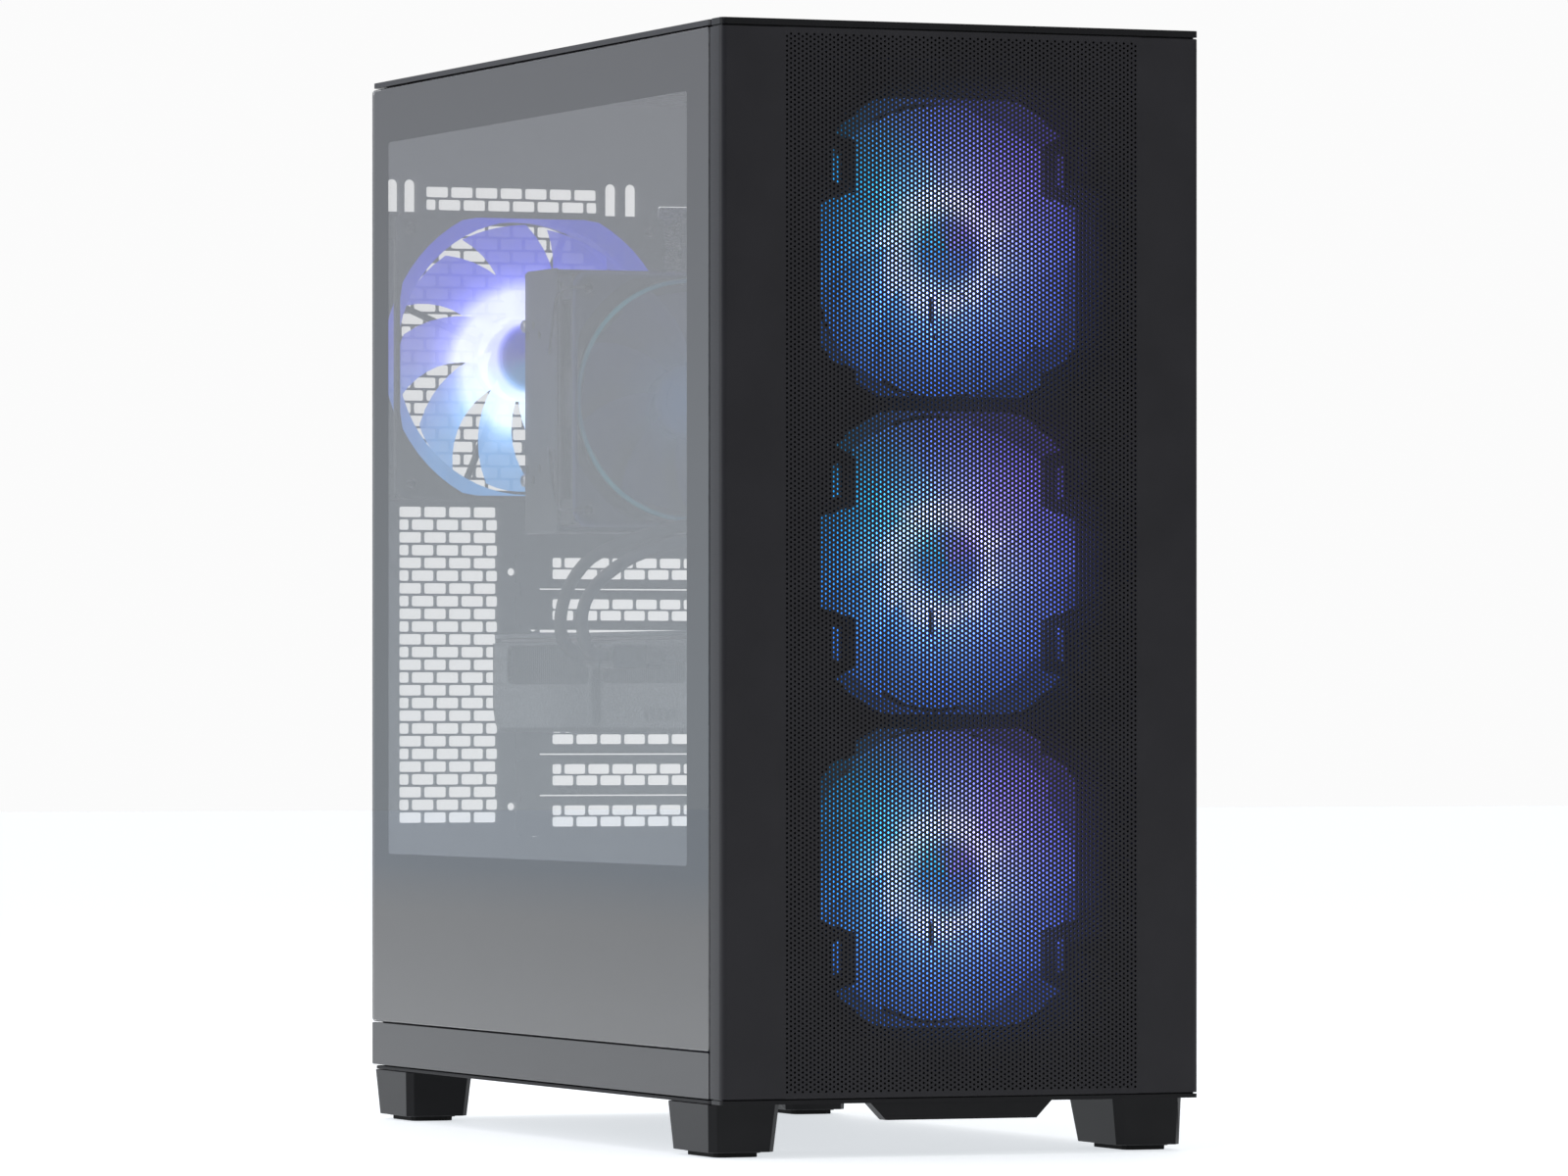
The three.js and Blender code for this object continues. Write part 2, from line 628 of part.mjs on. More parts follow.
// The five blanking plates of the unused slots. They hang on one clamp strip.
function slotCovers() {
  const plane = [REAR_PLATE - 1.3, REAR_PLATE - 0.3];
  const plates = [0, 1, 4, 5, 6].map((slot) => {
    const z = FIRST_SLOT_Z - slot * SLOT_PITCH;
    return block([-38, 84], plane, [z - 9.4, z + 9.4]);
  });
  const strip = block(
    [-44, -36], plane, [FIRST_SLOT_Z - 6 * SLOT_PITCH - 9.4, FIRST_SLOT_Z + 9.4],
  );
  return join(strip, ...plates);
}

const PLUG = { x: [-71, CARD.left - GAP], z: [219, 230] };
const POWER_PLUG_Y = [37, 18];

// One graphics power lead: its plug, then up and over to the cable hole beside the board.
function gpuPowerCable(y) {
  const first = y === POWER_PLUG_Y[0];
  const lift = first ? 6 : 0;
  const tuck = first ? 0 : 3.5;
  const end = first ? -36 : -46;
  const route = [
    [-70, y, 224.5], [-78, y, 225.5], [-86 + tuck, y - 1, 232], [-88 + tuck, y - 3, 244],
    [-85 + tuck, y - 7, 255 + lift / 2], [-76 + tuck, y - 12, 265 + lift], [-60, y - 19, 273 + lift],
    [-36, y - 28, 280 + lift], [-6, y - 40, 284 + lift], [26, (y - 44 + end) / 2, 283 + lift],
    [58, end + 9, 278 + lift], [76, end + 1, 275 + lift], [92, end, 275 + lift],
  ];
  return join(cable(route, 6, 36), block(PLUG.x, [y - 9, y + 9], PLUG.z));
}

// The main board lead, from the connector at the board's edge to the cable hole.
function atxPowerCable() {
  const route = [[62, -14.5, 316], [52, -15, 316], [44, -20, 314], [44, -30, 308],
    [54, -38, 300], [72, -41, 294], [92, -41, 292]];
  return join(cable(route, 11, 20), block([58, BOARD_X - 11 - GAP], [-19.5, -9.5], [290, 342]));
}

// ---------------------------------------------------------------- power supply
const INLET = { x: [50, 80], z: [42, 64] };
const ROCKER = { x: 65, z: 84, y: 222.4 };

function psuCase() {
  const { left, right, front, bottom, top, x, y } = PSU;
  const rear = REAR_PLATE - GAP;
  const wall = 1.5;
  const hollow = cut(
    block([left, right], [front, rear], [bottom, top]),
    block([left + wall, right - wall], [front + wall, rear - wall], [bottom + wall, top - wall]),
    bar("z", [x, y], 60, [bottom - 1, bottom + 3], 14),
  );
  const spider = [0, Math.PI / 2].map((angle) =>
    block([-62, 62], [-2, 2], [0, 2]).rotateZ(angle).translate(x, y, bottom + 19));
  const posts = [[-60, 0], [60, 0], [0, -60], [0, 60]].map(([dx, dy]) =>
    block([x + dx - 2, x + dx + 2], [y + dy - 2, y + dy + 2], [bottom + 1, bottom + 21]));
  const inletBox = block([INLET.x[0], INLET.x[1]], [rear - 18, rear], INLET.z);
  const [ix0, ix1] = INLET.x;
  const [iz0, iz1] = INLET.z;
  const socket = block([ix0 + 2.5, ix1 - 2.5], [rear - 15, rear + 1], [iz0 + 2.5, iz1 - 2.5]);
  const pins = [-7, 0, 7].map((dx) =>
    block([ROCKER.x + dx - 1, ROCKER.x + dx + 1], [rear - 16, rear - 2], [51, 55]));
  const rockerHole = block(
    [ROCKER.x - 7, ROCKER.x + 7], [rear - 3, rear + 1], [ROCKER.z - 11.6, ROCKER.z + 11.6],
  );
  return join(cut(join(hollow, ...spider, ...posts, inletBox), socket, rockerHole), ...pins);
}

// The supply's circuit board, hung from its lid, with coils, capacitors and heat sinks.
function psuBoard() {
  return join(
    block([PSU.left + 4, PSU.right - 4], [76, 200], [104, 106]),
    block([-40, -32], [85, 190], [62, 104.5]),
    block([40, 46], [85, 190], [62, 104.5]),
    block([-16, 22], [110, 150], [66, 104.5]),
    bar("z", [4, 175], 12, [60, 104.5], 6),
    bar("z", [65, 110], 14, [64, 104.5], 6),
  );
}

// The rocker switch: a shallow V face, pressed at its upper end.
function psuRocker() {
  const { x, y, z } = ROCKER;
  const profile = [[-3, -7], [3.2, -9.6], [4.4, -9.4], [3.4, 0], [6.4, 9.2], [5.4, 9.6], [-3, 7]];
  return prism("x", polygon(profile.map(([dy, dz]) => [y + dy, z + dz])), [x - 6, x + 6]);
}

const psuFilter = () => prism("z", rectangle(-51.2, 78.8, 78, SIDE_REAR, 2), [21.6, 23.8]);

// ---------------------------------------------------------------- assembly
add("base_plate", basePlate(), blackSteel);
const FEET = { front: [BODY_FRONT, -165], rear: [181, SIDE_REAR] };
for (const [end, [y0, y1]] of Object.entries(FEET))
  for (const [hand, side] of [["left", -1], ["right", 1]]) {
    add(`foot_${end}_${hand}`, foot(side, y0, y1), blackPlastic);
    add(`foot_pad_${end}_${hand}`, footPad(side, y0, y1), rubber);
  }
add("rear_panel", rearPanel(), blackSteel);
add("motherboard_tray", motherboardTray(), blackSteel);
add("front_chassis_frame", frontChassisFrame(), blackSteel);
add("top_chassis_frame", topChassisFrame(), blackSteel);
add("psu_shroud", psuShroud(), blackSteel);

const frontPanel = new THREE.Group();
tower.add(frontPanel);
add("front_cover", frontCover(), blackSteel, [0, 0, 0], frontPanel);
add("front_panel_frame", frontPanelFrame(), blackPlastic, [0, 0, 0], frontPanel);

add("glass_panel", glassPanel(), smokedGlass);
add("side_sill", sideSill(), blackSteel);
add("side_panel_right", sidePanelRight(), blackSteel);
add("thumbscrew_upper", thumbscrew(THUMBSCREW_Z[0]), blackPlastic);
add("thumbscrew_lower", thumbscrew(THUMBSCREW_Z[1]), blackPlastic);
add("top_panel", topPanel(), blackSteel);
add("top_filter", topFilter(), blackPlastic);
add("front_io_module", frontIoModule(), blackPlastic);
for (const [name, place] of Object.entries(BUTTONS)) add(`${name}_button`, button(place), blackPlastic);

const frontFanY = BODY_FRONT + 0.2 + STEEL + GAP;
["upper", "middle", "lower"].forEach((place, i) =>
  caseFan(`front_fan_${place}`, [0, frontFanY, FRONT_FAN_Z[i]]),
);
caseFan("rear_fan", [REAR_FAN.x, REAR_PLATE - GAP - FAN_DEPTH, REAR_FAN.z]);

add("motherboard", motherboard(), boardBlack);
add("vrm_heatsink", vrmHeatsink(), darkMetal);
add("m2_heatsink", m2Heatsink(), darkMetal);
add("rear_io_block", rearIoBlock(), plated);
add("ram_module_1", ramModule(MEMORY_Y[1]), darkMetal);
add("ram_module_2", ramModule(MEMORY_Y[3]), darkMetal);

const cooler = new THREE.Group();
tower.add(cooler);
add("cooler_base", coolerBase(), plated, [0, 0, 0], cooler);
add("cooler_fins", coolerFins(), finMetal, [0, 0, 0], cooler);
const coolerFanAt = [-16.5, FIN_STACK.y[0] - GAP - FAN_DEPTH, CPU.z];
add("cooler_fan_frame", fanFrame(120, FAN_DEPTH, 105), blackPlastic, coolerFanAt, cooler);
add(
  "cooler_fan_rotor",
  fanRotor({ hub: 20, tip: 55.6, blades: 9, front: 1.6, back: 20.4, chord: 21 }),
  blackPlastic, coolerFanAt, cooler,
);

const card = new THREE.Group();
tower.add(card);
add("gpu_shroud", gpuShroud(), darkMetal, [0, 0, 0], card);
add("gpu_heatsink", gpuHeatsink(), finMetal, [0, 0, 0], card);
add("gpu_board", gpuBoard(), boardBlack, [0, 0, 0], card);
add("gpu_bracket", gpuBracket(), plated, [0, 0, 0], card);
CARD_FAN_Y.forEach((y, i) => {
  const rotor = fanRotor({ hub: 17, tip: 45.6, blades: 9, front: 1.4, back: 13.6, chord: 15 });
  const centre = [(CARD.left + CARD.right) / 2, y, CARD.low];
  add(`gpu_fan_${i + 1}`, rotor, blackPlastic, centre, card).rotation.x = Math.PI / 2;
});
POWER_PLUG_Y.forEach((y, i) => add(`gpu_power_cable_${i + 1}`, gpuPowerCable(y), sleeve));
add("atx_power_cable", atxPowerCable(), sleeve);
add("slot_covers", slotCovers(), blackSteel);

add("psu_case", psuCase(), blackSteel);
add("psu_board", psuBoard(), boardBlack);
add(
  "psu_fan_rotor",
  fanRotor({ hub: 20, tip: 57, blades: 7, front: 3, back: 17, chord: 21 }),
  blackPlastic, [PSU.x, PSU.y, PSU.bottom],
).rotation.x = Math.PI / 2;
add("psu_rocker", psuRocker(), blackPlastic);
add("psu_filter", psuFilter(), blackPlastic);

export default tower;
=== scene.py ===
"""A desktop computer tower: detailed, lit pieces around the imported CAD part, in metres.

Shapes are worked out in millimetres and turned into metres when a piece is made.
"""
import math
import random

import bmesh
import bpy
import numpy as np
from mathutils import Matrix, Vector
from mathutils.geometry import delaunay_2d_cdt


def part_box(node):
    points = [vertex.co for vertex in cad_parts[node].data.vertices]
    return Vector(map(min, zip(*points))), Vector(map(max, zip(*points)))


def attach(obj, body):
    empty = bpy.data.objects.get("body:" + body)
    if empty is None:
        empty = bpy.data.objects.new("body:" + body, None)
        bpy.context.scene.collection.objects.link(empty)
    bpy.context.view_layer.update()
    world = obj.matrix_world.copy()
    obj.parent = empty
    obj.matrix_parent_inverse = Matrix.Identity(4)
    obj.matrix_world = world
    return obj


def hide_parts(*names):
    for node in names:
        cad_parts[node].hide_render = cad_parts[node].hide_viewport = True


MM = 0.001
CAD_EDGE = 0.3
MOTTLE = 35
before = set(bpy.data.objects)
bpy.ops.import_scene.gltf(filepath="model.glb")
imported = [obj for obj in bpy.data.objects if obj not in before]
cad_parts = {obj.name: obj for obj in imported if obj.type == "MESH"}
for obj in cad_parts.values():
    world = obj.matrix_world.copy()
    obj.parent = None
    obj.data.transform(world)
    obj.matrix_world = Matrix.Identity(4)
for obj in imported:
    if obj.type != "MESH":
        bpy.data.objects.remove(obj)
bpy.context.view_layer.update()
rng = random.Random(7)


def node_box(name):
    """A CAD node's lowest and highest corners, in millimetres."""
    low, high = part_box(name)
    return [c / MM for c in low], [c / MM for c in high]


def centre_of(name):
    """The middle of a CAD node's box, in millimetres."""
    return [(a + b) / 2 for a, b in zip(*node_box(name))]


def crosswise(centre, half):
    """The four corners of a square round a centre, given half its width."""
    return [(centre[0] + sx * half, centre[1] + sz * half) for sx in (-1, 1) for sz in (-1, 1)]


# ------------------------------------------------------------------ materials
def srgb(*channels):
    """A colour given as 0 to 255 display values, as linear values."""
    out = []
    for channel in channels:
        c = channel / 255
        out.append(c / 12.92 if c <= 0.04045 else ((c + 0.055) / 1.055) ** 2.4)
    return (*out, 1.0)


def new_material(name):
    """A node material and its shader, ready for more nodes."""
    material = bpy.data.materials.new(name)
    material.use_nodes = True
    return material, material.node_tree, material.node_tree.nodes["Principled BSDF"]


def link(tree, source, target):
    """Joins a node's output to an input, or sets the input where the source is a plain value."""
    if isinstance(source, bpy.types.NodeSocket):
        tree.links.new(source, target)
    else:
        target.default_value = source


def maths(tree, kind, *values):
    """A maths node over numbers and other nodes' outputs."""
    node = tree.nodes.new("ShaderNodeMath")
    node.operation = kind
    for value, socket in zip(values, node.inputs):
        link(tree, value, socket)
    return node.outputs["Value"]


def mix(tree, kind, a, b, factor=1):
    """Blends two colours, each of them a value or another node's output."""
    node = tree.nodes.new("ShaderNodeMix")
    node.data_type, node.blend_type = "RGBA", kind
    for name, value in (("Factor", factor), ("A", a), ("B", b)):
        link(tree, value, node.inputs[name])
    return node.outputs["Result"]


def axes(tree, kind="Object"):
    """The X, Y and Z of the place that is shaded, on the piece or, with Generated, in the world."""
    place = tree.nodes.new("ShaderNodeTexCoord")
    split = tree.nodes.new("ShaderNodeSeparateXYZ")
    link(tree, place.outputs[kind], split.inputs["Vector"])
    return split.outputs


def noise(tree, scale, detail, stretch=(1, 1, 1)):
    """A noise pattern fixed to the piece, `scale` features to the metre."""
    place = tree.nodes.new("ShaderNodeTexCoord")
    sized = tree.nodes.new("ShaderNodeMapping")
    sized.inputs["Scale"].default_value = stretch
    pattern = tree.nodes.new("ShaderNodeTexNoise")
    pattern.inputs["Scale"].default_value = scale
    pattern.inputs["Detail"].default_value = detail
    link(tree, place.outputs["Object"], sized.inputs["Vector"])
    link(tree, sized.outputs["Vector"], pattern.inputs["Vector"])
    return pattern


def ramp(tree, value, stops):
    """A colour ramp over a value. A stop is (position, colour), and a number is a grey."""
    node = tree.nodes.new("ShaderNodeValToRGB")
    elements = node.color_ramp.elements
    while len(elements) < len(stops):
        elements.new(0.5)
    for element, (position, colour) in zip(elements, stops):
        element.position = position
        element.color = (colour, colour, colour, 1) if isinstance(colour, float) else colour
    link(tree, value, node.inputs["Fac"])
    return node


def bump(tree, shader, height, strength, distance):
    """Roughens a shader by a height pattern, `distance` metres deep."""
    node = tree.nodes.new("ShaderNodeBump")
    node.inputs["Strength"].default_value = strength
    node.inputs["Distance"].default_value = distance
    link(tree, height, node.inputs["Height"])
    link(tree, node.outputs["Normal"], shader.inputs["Normal"])


def finish(name, dark, light, rough, grain, depth, metallic=0.0, specular=0.5, stretch=(1, 1, 1),
           strength=0.6):
    """A painted, moulded or plated surface: soft mottling in its colour, a fine grain in its height."""
    material, tree, shader = new_material(name)
    shader.inputs["Metallic"].default_value = metallic
    shader.inputs["Specular IOR Level"].default_value = specular
    clouds = noise(tree, MOTTLE, 4, stretch)
    fine = noise(tree, grain, 2, stretch)
    colour = ramp(tree, clouds.outputs["Fac"], [(0.3, dark), (0.7, light)])
    gloss = ramp(tree, fine.outputs["Fac"], [(0.25, rough[0]), (0.75, rough[1])])
    link(tree, colour.outputs["Color"], shader.inputs["Base Color"])
    link(tree, gloss.outputs["Color"], shader.inputs["Roughness"])
    bump(tree, shader, fine.outputs["Fac"], strength, depth)
    return material


def make_glass():
    """Tinted glass with faint smears."""
    material, tree, shader = new_material("tinted_glass")
    shader.inputs["Base Color"].default_value = (0.75, 0.745, 0.74, 1)
    shader.inputs["Transmission Weight"].default_value = 1
    shader.inputs["IOR"].default_value = 1.85
    smears = noise(tree, 9, 3)
    film = ramp(tree, smears.outputs["Fac"], [(0.45, 0.0), (0.8, 0.008)])
    link(tree, film.outputs["Color"], shader.inputs["Roughness"])
    return material


# Colours round a lit fan, by angle from its right side, anticlockwise as seen from the front.
FAN_HUES = [(0.14, 0.20, 1.14), (0.24, 0.18, 1.10), (0.15, 0.22, 0.98), (0.02, 0.36, 0.80),
            (0.02, 0.24, 0.80), (0.05, 0.26, 1.08), (0.08, 0.26, 1.17), (0.10, 0.22, 1.17)]
# How strongly it glows, and how white, by distance from its middle in millimetres.
FAN_GLOW = [(0, 0.9, 0.0), (12, 1.05, 0.0), (15.5, 1.9, 0.12), (22, 3.5, 0.34), (27, 3.1, 0.26),
            (31, 2.2, 0.06), (44, 1.15, 0.0), (57, 0.62, 0.0), (68, 0.36, 0.0)]
FAN_EDGE = 70
HOT_WHITE = (0.75, 0.8, 1, 1)
REAR_HUES = [(0.05, 0.10, 1.4), (0.03, 0.05, 1.5), (0.03, 0.04, 1.7), (0.06, 0.07, 1.9),
             (0.36, 0.40, 1.8), (0.28, 0.90, 2.0), (0.22, 0.85, 1.8), (0.10, 0.45, 1.6)]
REAR_GLOW = [(0, 0.35, 0.0), (12, 0.45, 0.0), (15, 1.0, 0.2), (18, 3.4, 0.8), (33, 3.2, 0.75),
             (40, 1.5, 0.25), (48, 0.9, 0.05), (58, 0.72, 0.0), (70, 0.62, 0.0)]
# The cooler's fan has no lamp of its own: painted glints on a thin rim, brightest at its corners, and faint
# painted light on its blades round the hub.
PAINTED_GLINT_HUES = [(0.004, 0.03, 0.04), (0.01, 0.17, 0.18)] * 4
PAINTED_GLINT_LEVELS = [(0, 1.0, 0.0), (70, 1.0, 0.0)]
PAINTED_HUB_LIGHT_HUES = [(0.01, 0.06, 0.14)] * 8
PAINTED_HUB_LIGHT_LEVELS = [(0, 1.0, 0.0), (14, 0.7, 0.0), (22, 0.3, 0.0), (34, 0.0, 0.0), (70, 0.0, 0.0)]


# Also makes painted light: the glints on the cooler fan's rim and the light on its hub.
def make_glow(name, power, clear, hues=FAN_HUES, glows=FAN_GLOW):
    """Frosted plastic lit from the hub, with colour by angle and strength by distance. The piece's own
    origin is the fan's middle. `clear` is the share of what is behind it that shows through."""
    material, tree, shader = new_material(name)
    x, _, z = axes(tree)
    turn = maths(tree, "FRACT", maths(tree, "ADD", maths(tree, "DIVIDE", maths(tree, "ARCTAN2", z, x),
                                                         2 * math.pi), 1.0))
    flat = tree.nodes.new("ShaderNodeCombineXYZ")
    link(tree, x, flat.inputs["X"])
    link(tree, z, flat.inputs["Z"])
    size = tree.nodes.new("ShaderNodeVectorMath")
    size.operation = "LENGTH"
    link(tree, flat.outputs["Vector"], size.inputs[0])
    reach = maths(tree, "DIVIDE", size.outputs["Value"], FAN_EDGE * MM)
    tints = [(*hue, 1) for hue in hues]
    around = ramp(tree, turn, [(i / len(tints), tints[i % len(tints)]) for i in range(len(tints) + 1)])
    top = max(g for _, g, _ in glows)
    glow = ramp(tree, reach, [(r / FAN_EDGE, g / top) for r, g, _ in glows])
    white = ramp(tree, reach, [(r / FAN_EDGE, w) for r, _, w in glows])
    blend = mix(tree, "MIX", around.outputs["Color"], HOT_WHITE, white.outputs["Color"])
    patchy = ramp(tree, noise(tree, 60, 3).outputs["Fac"], [(0.3, 0.82), (0.7, 1.0)])
    level = mix(tree, "MULTIPLY", glow.outputs["Color"], patchy.outputs["Color"])
    link(tree, mix(tree, "MULTIPLY", blend, level), shader.inputs["Emission Color"])
    shader.inputs["Base Color"].default_value = (0.02, 0.03, 0.08, 1)
    shader.inputs["Roughness"].default_value = 0.5
    shader.inputs["Specular IOR Level"].default_value = 0.1
    shader.inputs["Alpha"].default_value = 1 - clear
    shader.inputs["Emission Strength"].default_value = power * top
    return material


# ------------------------------------------------------------------ shapes
class Shape:
    """Closed bodies in millimetres. Each face carries the number of its material."""

    def __init__(self):
        self.points, self.faces, self.slots = [], [], []
        self.slot = 0

    def use(self, slot):
        """Gives the bodies added from here on another material."""
        self.slot = slot
        return self

    def add(self, points, faces):
        """Adds a body. Its faces count its own points from 0."""
        first = len(self.points)
        self.points.extend(tuple(p) for p in points)
        self.faces.extend(tuple(first + i for i in face) for face in faces)
        self.slots.extend([self.slot] * len(faces))
        return self

    def box(self, x, y, z, cut=0.0):
        """A box between limits on each axis, with its edges cut back."""
        limits = [sorted(x), sorted(y), sorted(z)]
        cut = min(cut, *((hi - lo) / 2.2 for lo, hi in limits))
        if cut <= 0:
            points = [(px, py, pz) for px in limits[0] for py in limits[1] for pz in limits[2]]
            quads = [(0, 1, 3, 2), (4, 6, 7, 5), (0, 4, 5, 1), (2, 3, 7, 6), (0, 2, 6, 4), (1, 5, 7, 3)]
            return self.add(points, quads)
        points, index = [], {}
        for corner in np.ndindex(2, 2, 2):
            for axis in range(3):
                point = []
                for a in range(3):
                    edge = limits[a][corner[a]]
                    inward = 1 if corner[a] == 0 else -1
                    point.append(edge if a == axis else edge + inward * cut)
                index[(corner, axis)] = len(points)
                points.append(point)
        faces = []
        for axis in range(3):
            u, v = (a for a in range(3) if a != axis)
            for side in (0, 1):
                ring = []
                for cu, cv in ((0, 0), (1, 0), (1, 1), (0, 1)):
                    corner = [0, 0, 0]
                    corner[axis], corner[u], corner[v] = side, cu, cv
                    ring.append(index[(tuple(corner), axis)])
                faces.append(ring)
            for cu, cv in ((0, 0), (1, 0), (1, 1), (0, 1)):
                low, high = [0, 0, 0], [0, 0, 0]
                low[u], low[v], high[u], high[v], high[axis] = cu, cv, cu, cv, 1
                low, high = tuple(low), tuple(high)
                faces.append([index[(low, u)], index[(high, u)], index[(high, v)], index[(low, v)]])
        faces += [[index[(c, a)] for a in range(3)] for c in np.ndindex(2, 2, 2)]
        return self.add(points, faces)

    def prism(self, axis, outline, limits, cut=0.0):
        """An outline pushed along an axis. It is drawn in (y, z), (x, z) or (x, y). With a cut, both
        ends draw in by it."""
        low, high = sorted(limits)
        stations = [(low, 0), (high, 0)]
        if cut:
            stations = [(low, cut), (low + cut, 0), (high - cut, 0), (high, cut)]
        rings = []
        for along, inset in stations:
            loop = offset_loop(outline, inset) if inset else outline
            rings.append([place(axis, u, v, along) for u, v in loop])
        return self.loft(rings)

    def loft(self, rings, closed=False):
        """A body over rings of equal length, with flat ends. With `closed`, the last ring joins the
        first."""
        count = len(rings[0])
        total = count * len(rings)
        faces = [] if closed else [tuple(range(count)), tuple(range(total - count, total))]
        for r in range(len(rings) - (0 if closed else 1)):
            for i in range(count):
                a, b = r * count + i, r * count + (i + 1) % count
                faces.append((a, b, (b + count) % total, (a + count) % total))
        return self.add([p for ring in rings for p in ring], faces)

    def turned(self, axis, centre, profile, sides):
        """A lathed body. The profile is a list of (radius, height along the axis)."""
        rings = []
        for radius, height in profile:
            rings.append([place(axis, centre[0] + max(radius, 0.01) * math.cos(t),
                                centre[1] + max(radius, 0.01) * math.sin(t), height)
                          for t in steps(sides)])
        return self.loft(rings)

    def rod(self, axis, centre, radius, limits, sides, cut=0.0):
        """A round bar along an axis, with its ends' edges cut back."""
        low, high = sorted(limits)
        profile = [(radius, low), (radius, high)]
        if cut:
            profile = [(radius - cut, low), (radius, low + cut), (radius, high - cut),
                       (radius - cut, high)]
        return self.turned(axis, centre, profile, sides)

    def ring(self, axis, centre, inner, outer, limits, sides, cut=0.0):
        """A washer or tube."""
        low, high = sorted(limits)
        section = [(inner, low), (outer, low), (outer, high), (inner, high)]
        if cut:
            section = [(inner + cut, low), (outer - cut, low), (outer, low + cut), (outer, high - cut),
                       (outer - cut, high), (inner + cut, high), (inner, high - cut),
                       (inner, low + cut)]
        return self.hoop(axis, centre, section, sides)

    def hoop(self, axis, centre, section, sides):
        """A closed section of (radius, height) turned all the way round an axis."""
        return self.loft([[place(axis, centre[0] + r * math.cos(t), centre[1] + r * math.sin(t), h)
                           for r, h in section] for t in steps(sides)], closed=True)

    def tube(self, path, radius, sides):
        """A round bar along a list of points, without twist."""
        path = [Vector(p) for p in path]
        rings, side = [], None
        for i, point in enumerate(path):
            ahead = (path[min(i + 1, len(path) - 1)] - path[max(i - 1, 0)]).normalized()
            if side is None:
                side = ahead.orthogonal().normalized()
            side = (side - ahead * side.dot(ahead)).normalized()
            other = ahead.cross(side)
            rings.append([point + (side * math.cos(t) + other * math.sin(t)) * radius
                          for t in steps(sides)])
        return self.loft(rings)

    def sheet(self, axis, outline, holes, limits):
        """A flat sheet with any number of openings that don't touch."""
        low, high = sorted(limits)
        loops = [outline, *holes]
        flat = [Vector(p) for loop in loops for p in loop]
        loops_at, total = [], 0
        for loop in loops:
            loops_at.append(list(range(total, total + len(loop))))
            total += len(loop)
        points, _, faces, _, _, owners = delaunay_2d_cdt(flat, [], loops_at, 1, 1e-5)
        solid = [f for f, owner in zip(faces, owners) if list(owner) == [0]]
        count = len(points)
        both = [place(axis, p.x, p.y, h) for h in (low, high) for p in points]
        edges = dict.fromkeys((a, b) for f in solid for a, b in zip(f, f[1:] + f[:1]))
        rim = [(a, b) for a, b in edges if (b, a) not in edges]
        made = [tuple(f) for f in solid] + [tuple(count + i for i in reversed(f)) for f in solid]
        made += [(b, a, a + count, b + count) for a, b in rim]
        return self.add(both, made)

    def spokes(self, axis, centre, angles, x, y, z, cut):
        """A box drawn out from the origin, turned to each angle in degrees and moved to the centre."""
        for angle in angles:
            first = len(self.points)
            self.box(x, y, z, cut)
            turn = Matrix.Rotation(math.radians(angle), 4, axis.upper())
            self.moved(Matrix.Translation(place(axis, *centre, 0)) @ turn, first)
        return self

    def moved(self, matrix, first=0):
        """Moves every point from number `first` on."""
        self.points[first:] = [tuple(matrix @ Vector(p)) for p in self.points[first:]]
        return self


def place(axis, u, v, along):
    """A point given on the plane across an axis and along it."""
    return {"x": (along, u, v), "y": (u, along, v), "z": (u, v, along)}[axis]


def steps(count):
    """Equal angles all the way round."""
    return [2 * math.pi * k / count for k in range(count)]


def offset_loop(loop, inset):
    """The loop drawn in by a distance, for a loop listed either way round."""
    area = sum(a[0] * b[1] - b[0] * a[1] for a, b in zip(loop, loop[1:] + loop[:1]))
    sign = 1 if area > 0 else -1
    out = []
    for before, here, after in zip(loop[-1:] + loop[:-1], loop, loop[1:] + loop[:1]):
        a = Vector((here[0] - before[0], here[1] - before[1])).normalized()
        b = Vector((after[0] - here[0], after[1] - here[1])).normalized()
        na, nb = Vector((-a.y, a.x)) * sign, Vector((-b.y, b.x)) * sign
        mid = na + nb
        mid = mid.normalized() / max(0.35, mid.normalized().dot(na)) if mid.length > 1e-6 else na
        out.append((here[0] + mid.x * inset, here[1] + mid.y * inset))
    return out


def rounded(u, v, radius, segments=4):
    """A rectangle between limits with round corners, anticlockwise."""
    (u0, u1), (v0, v1) = sorted(u), sorted(v)
    out = []
    for cu, cv, start in ((u1 - radius, v0 + radius, -90), (u1 - radius, v1 - radius, 0),
                          (u0 + radius, v1 - radius, 90), (u0 + radius, v0 + radius, 180)):
        for k in range(segments + 1):
            t = math.radians(start + 90 * k / segments)
            out.append((cu + radius * math.cos(t), cv + radius * math.sin(t)))
    return out


def disc(u, v, radius, sides=16, start=0.0):
    """A round outline."""
    return [(u + radius * math.cos(t + start), v + radius * math.sin(t + start)) for t in steps(sides)]


def curve(points, per_span):
    """A smooth path through the points, as a list of places."""
    points = [Vector(p) for p in points]
    ends = [points[0] * 2 - points[1], *points, points[-1] * 2 - points[-2]]
    out = []
    for p0, p1, p2, p3 in zip(ends, ends[1:], ends[2:], ends[3:]):
        for k in range(per_span):
            t = k / per_span
            out.append(0.5 * ((2 * p1) + (p2 - p0) * t + (2 * p0 - 5 * p1 + 4 * p2 - p3) * t ** 2
                              + (3 * p1 - p0 - 3 * p2 + p3) * t ** 3))
    return out + [points[-1]]


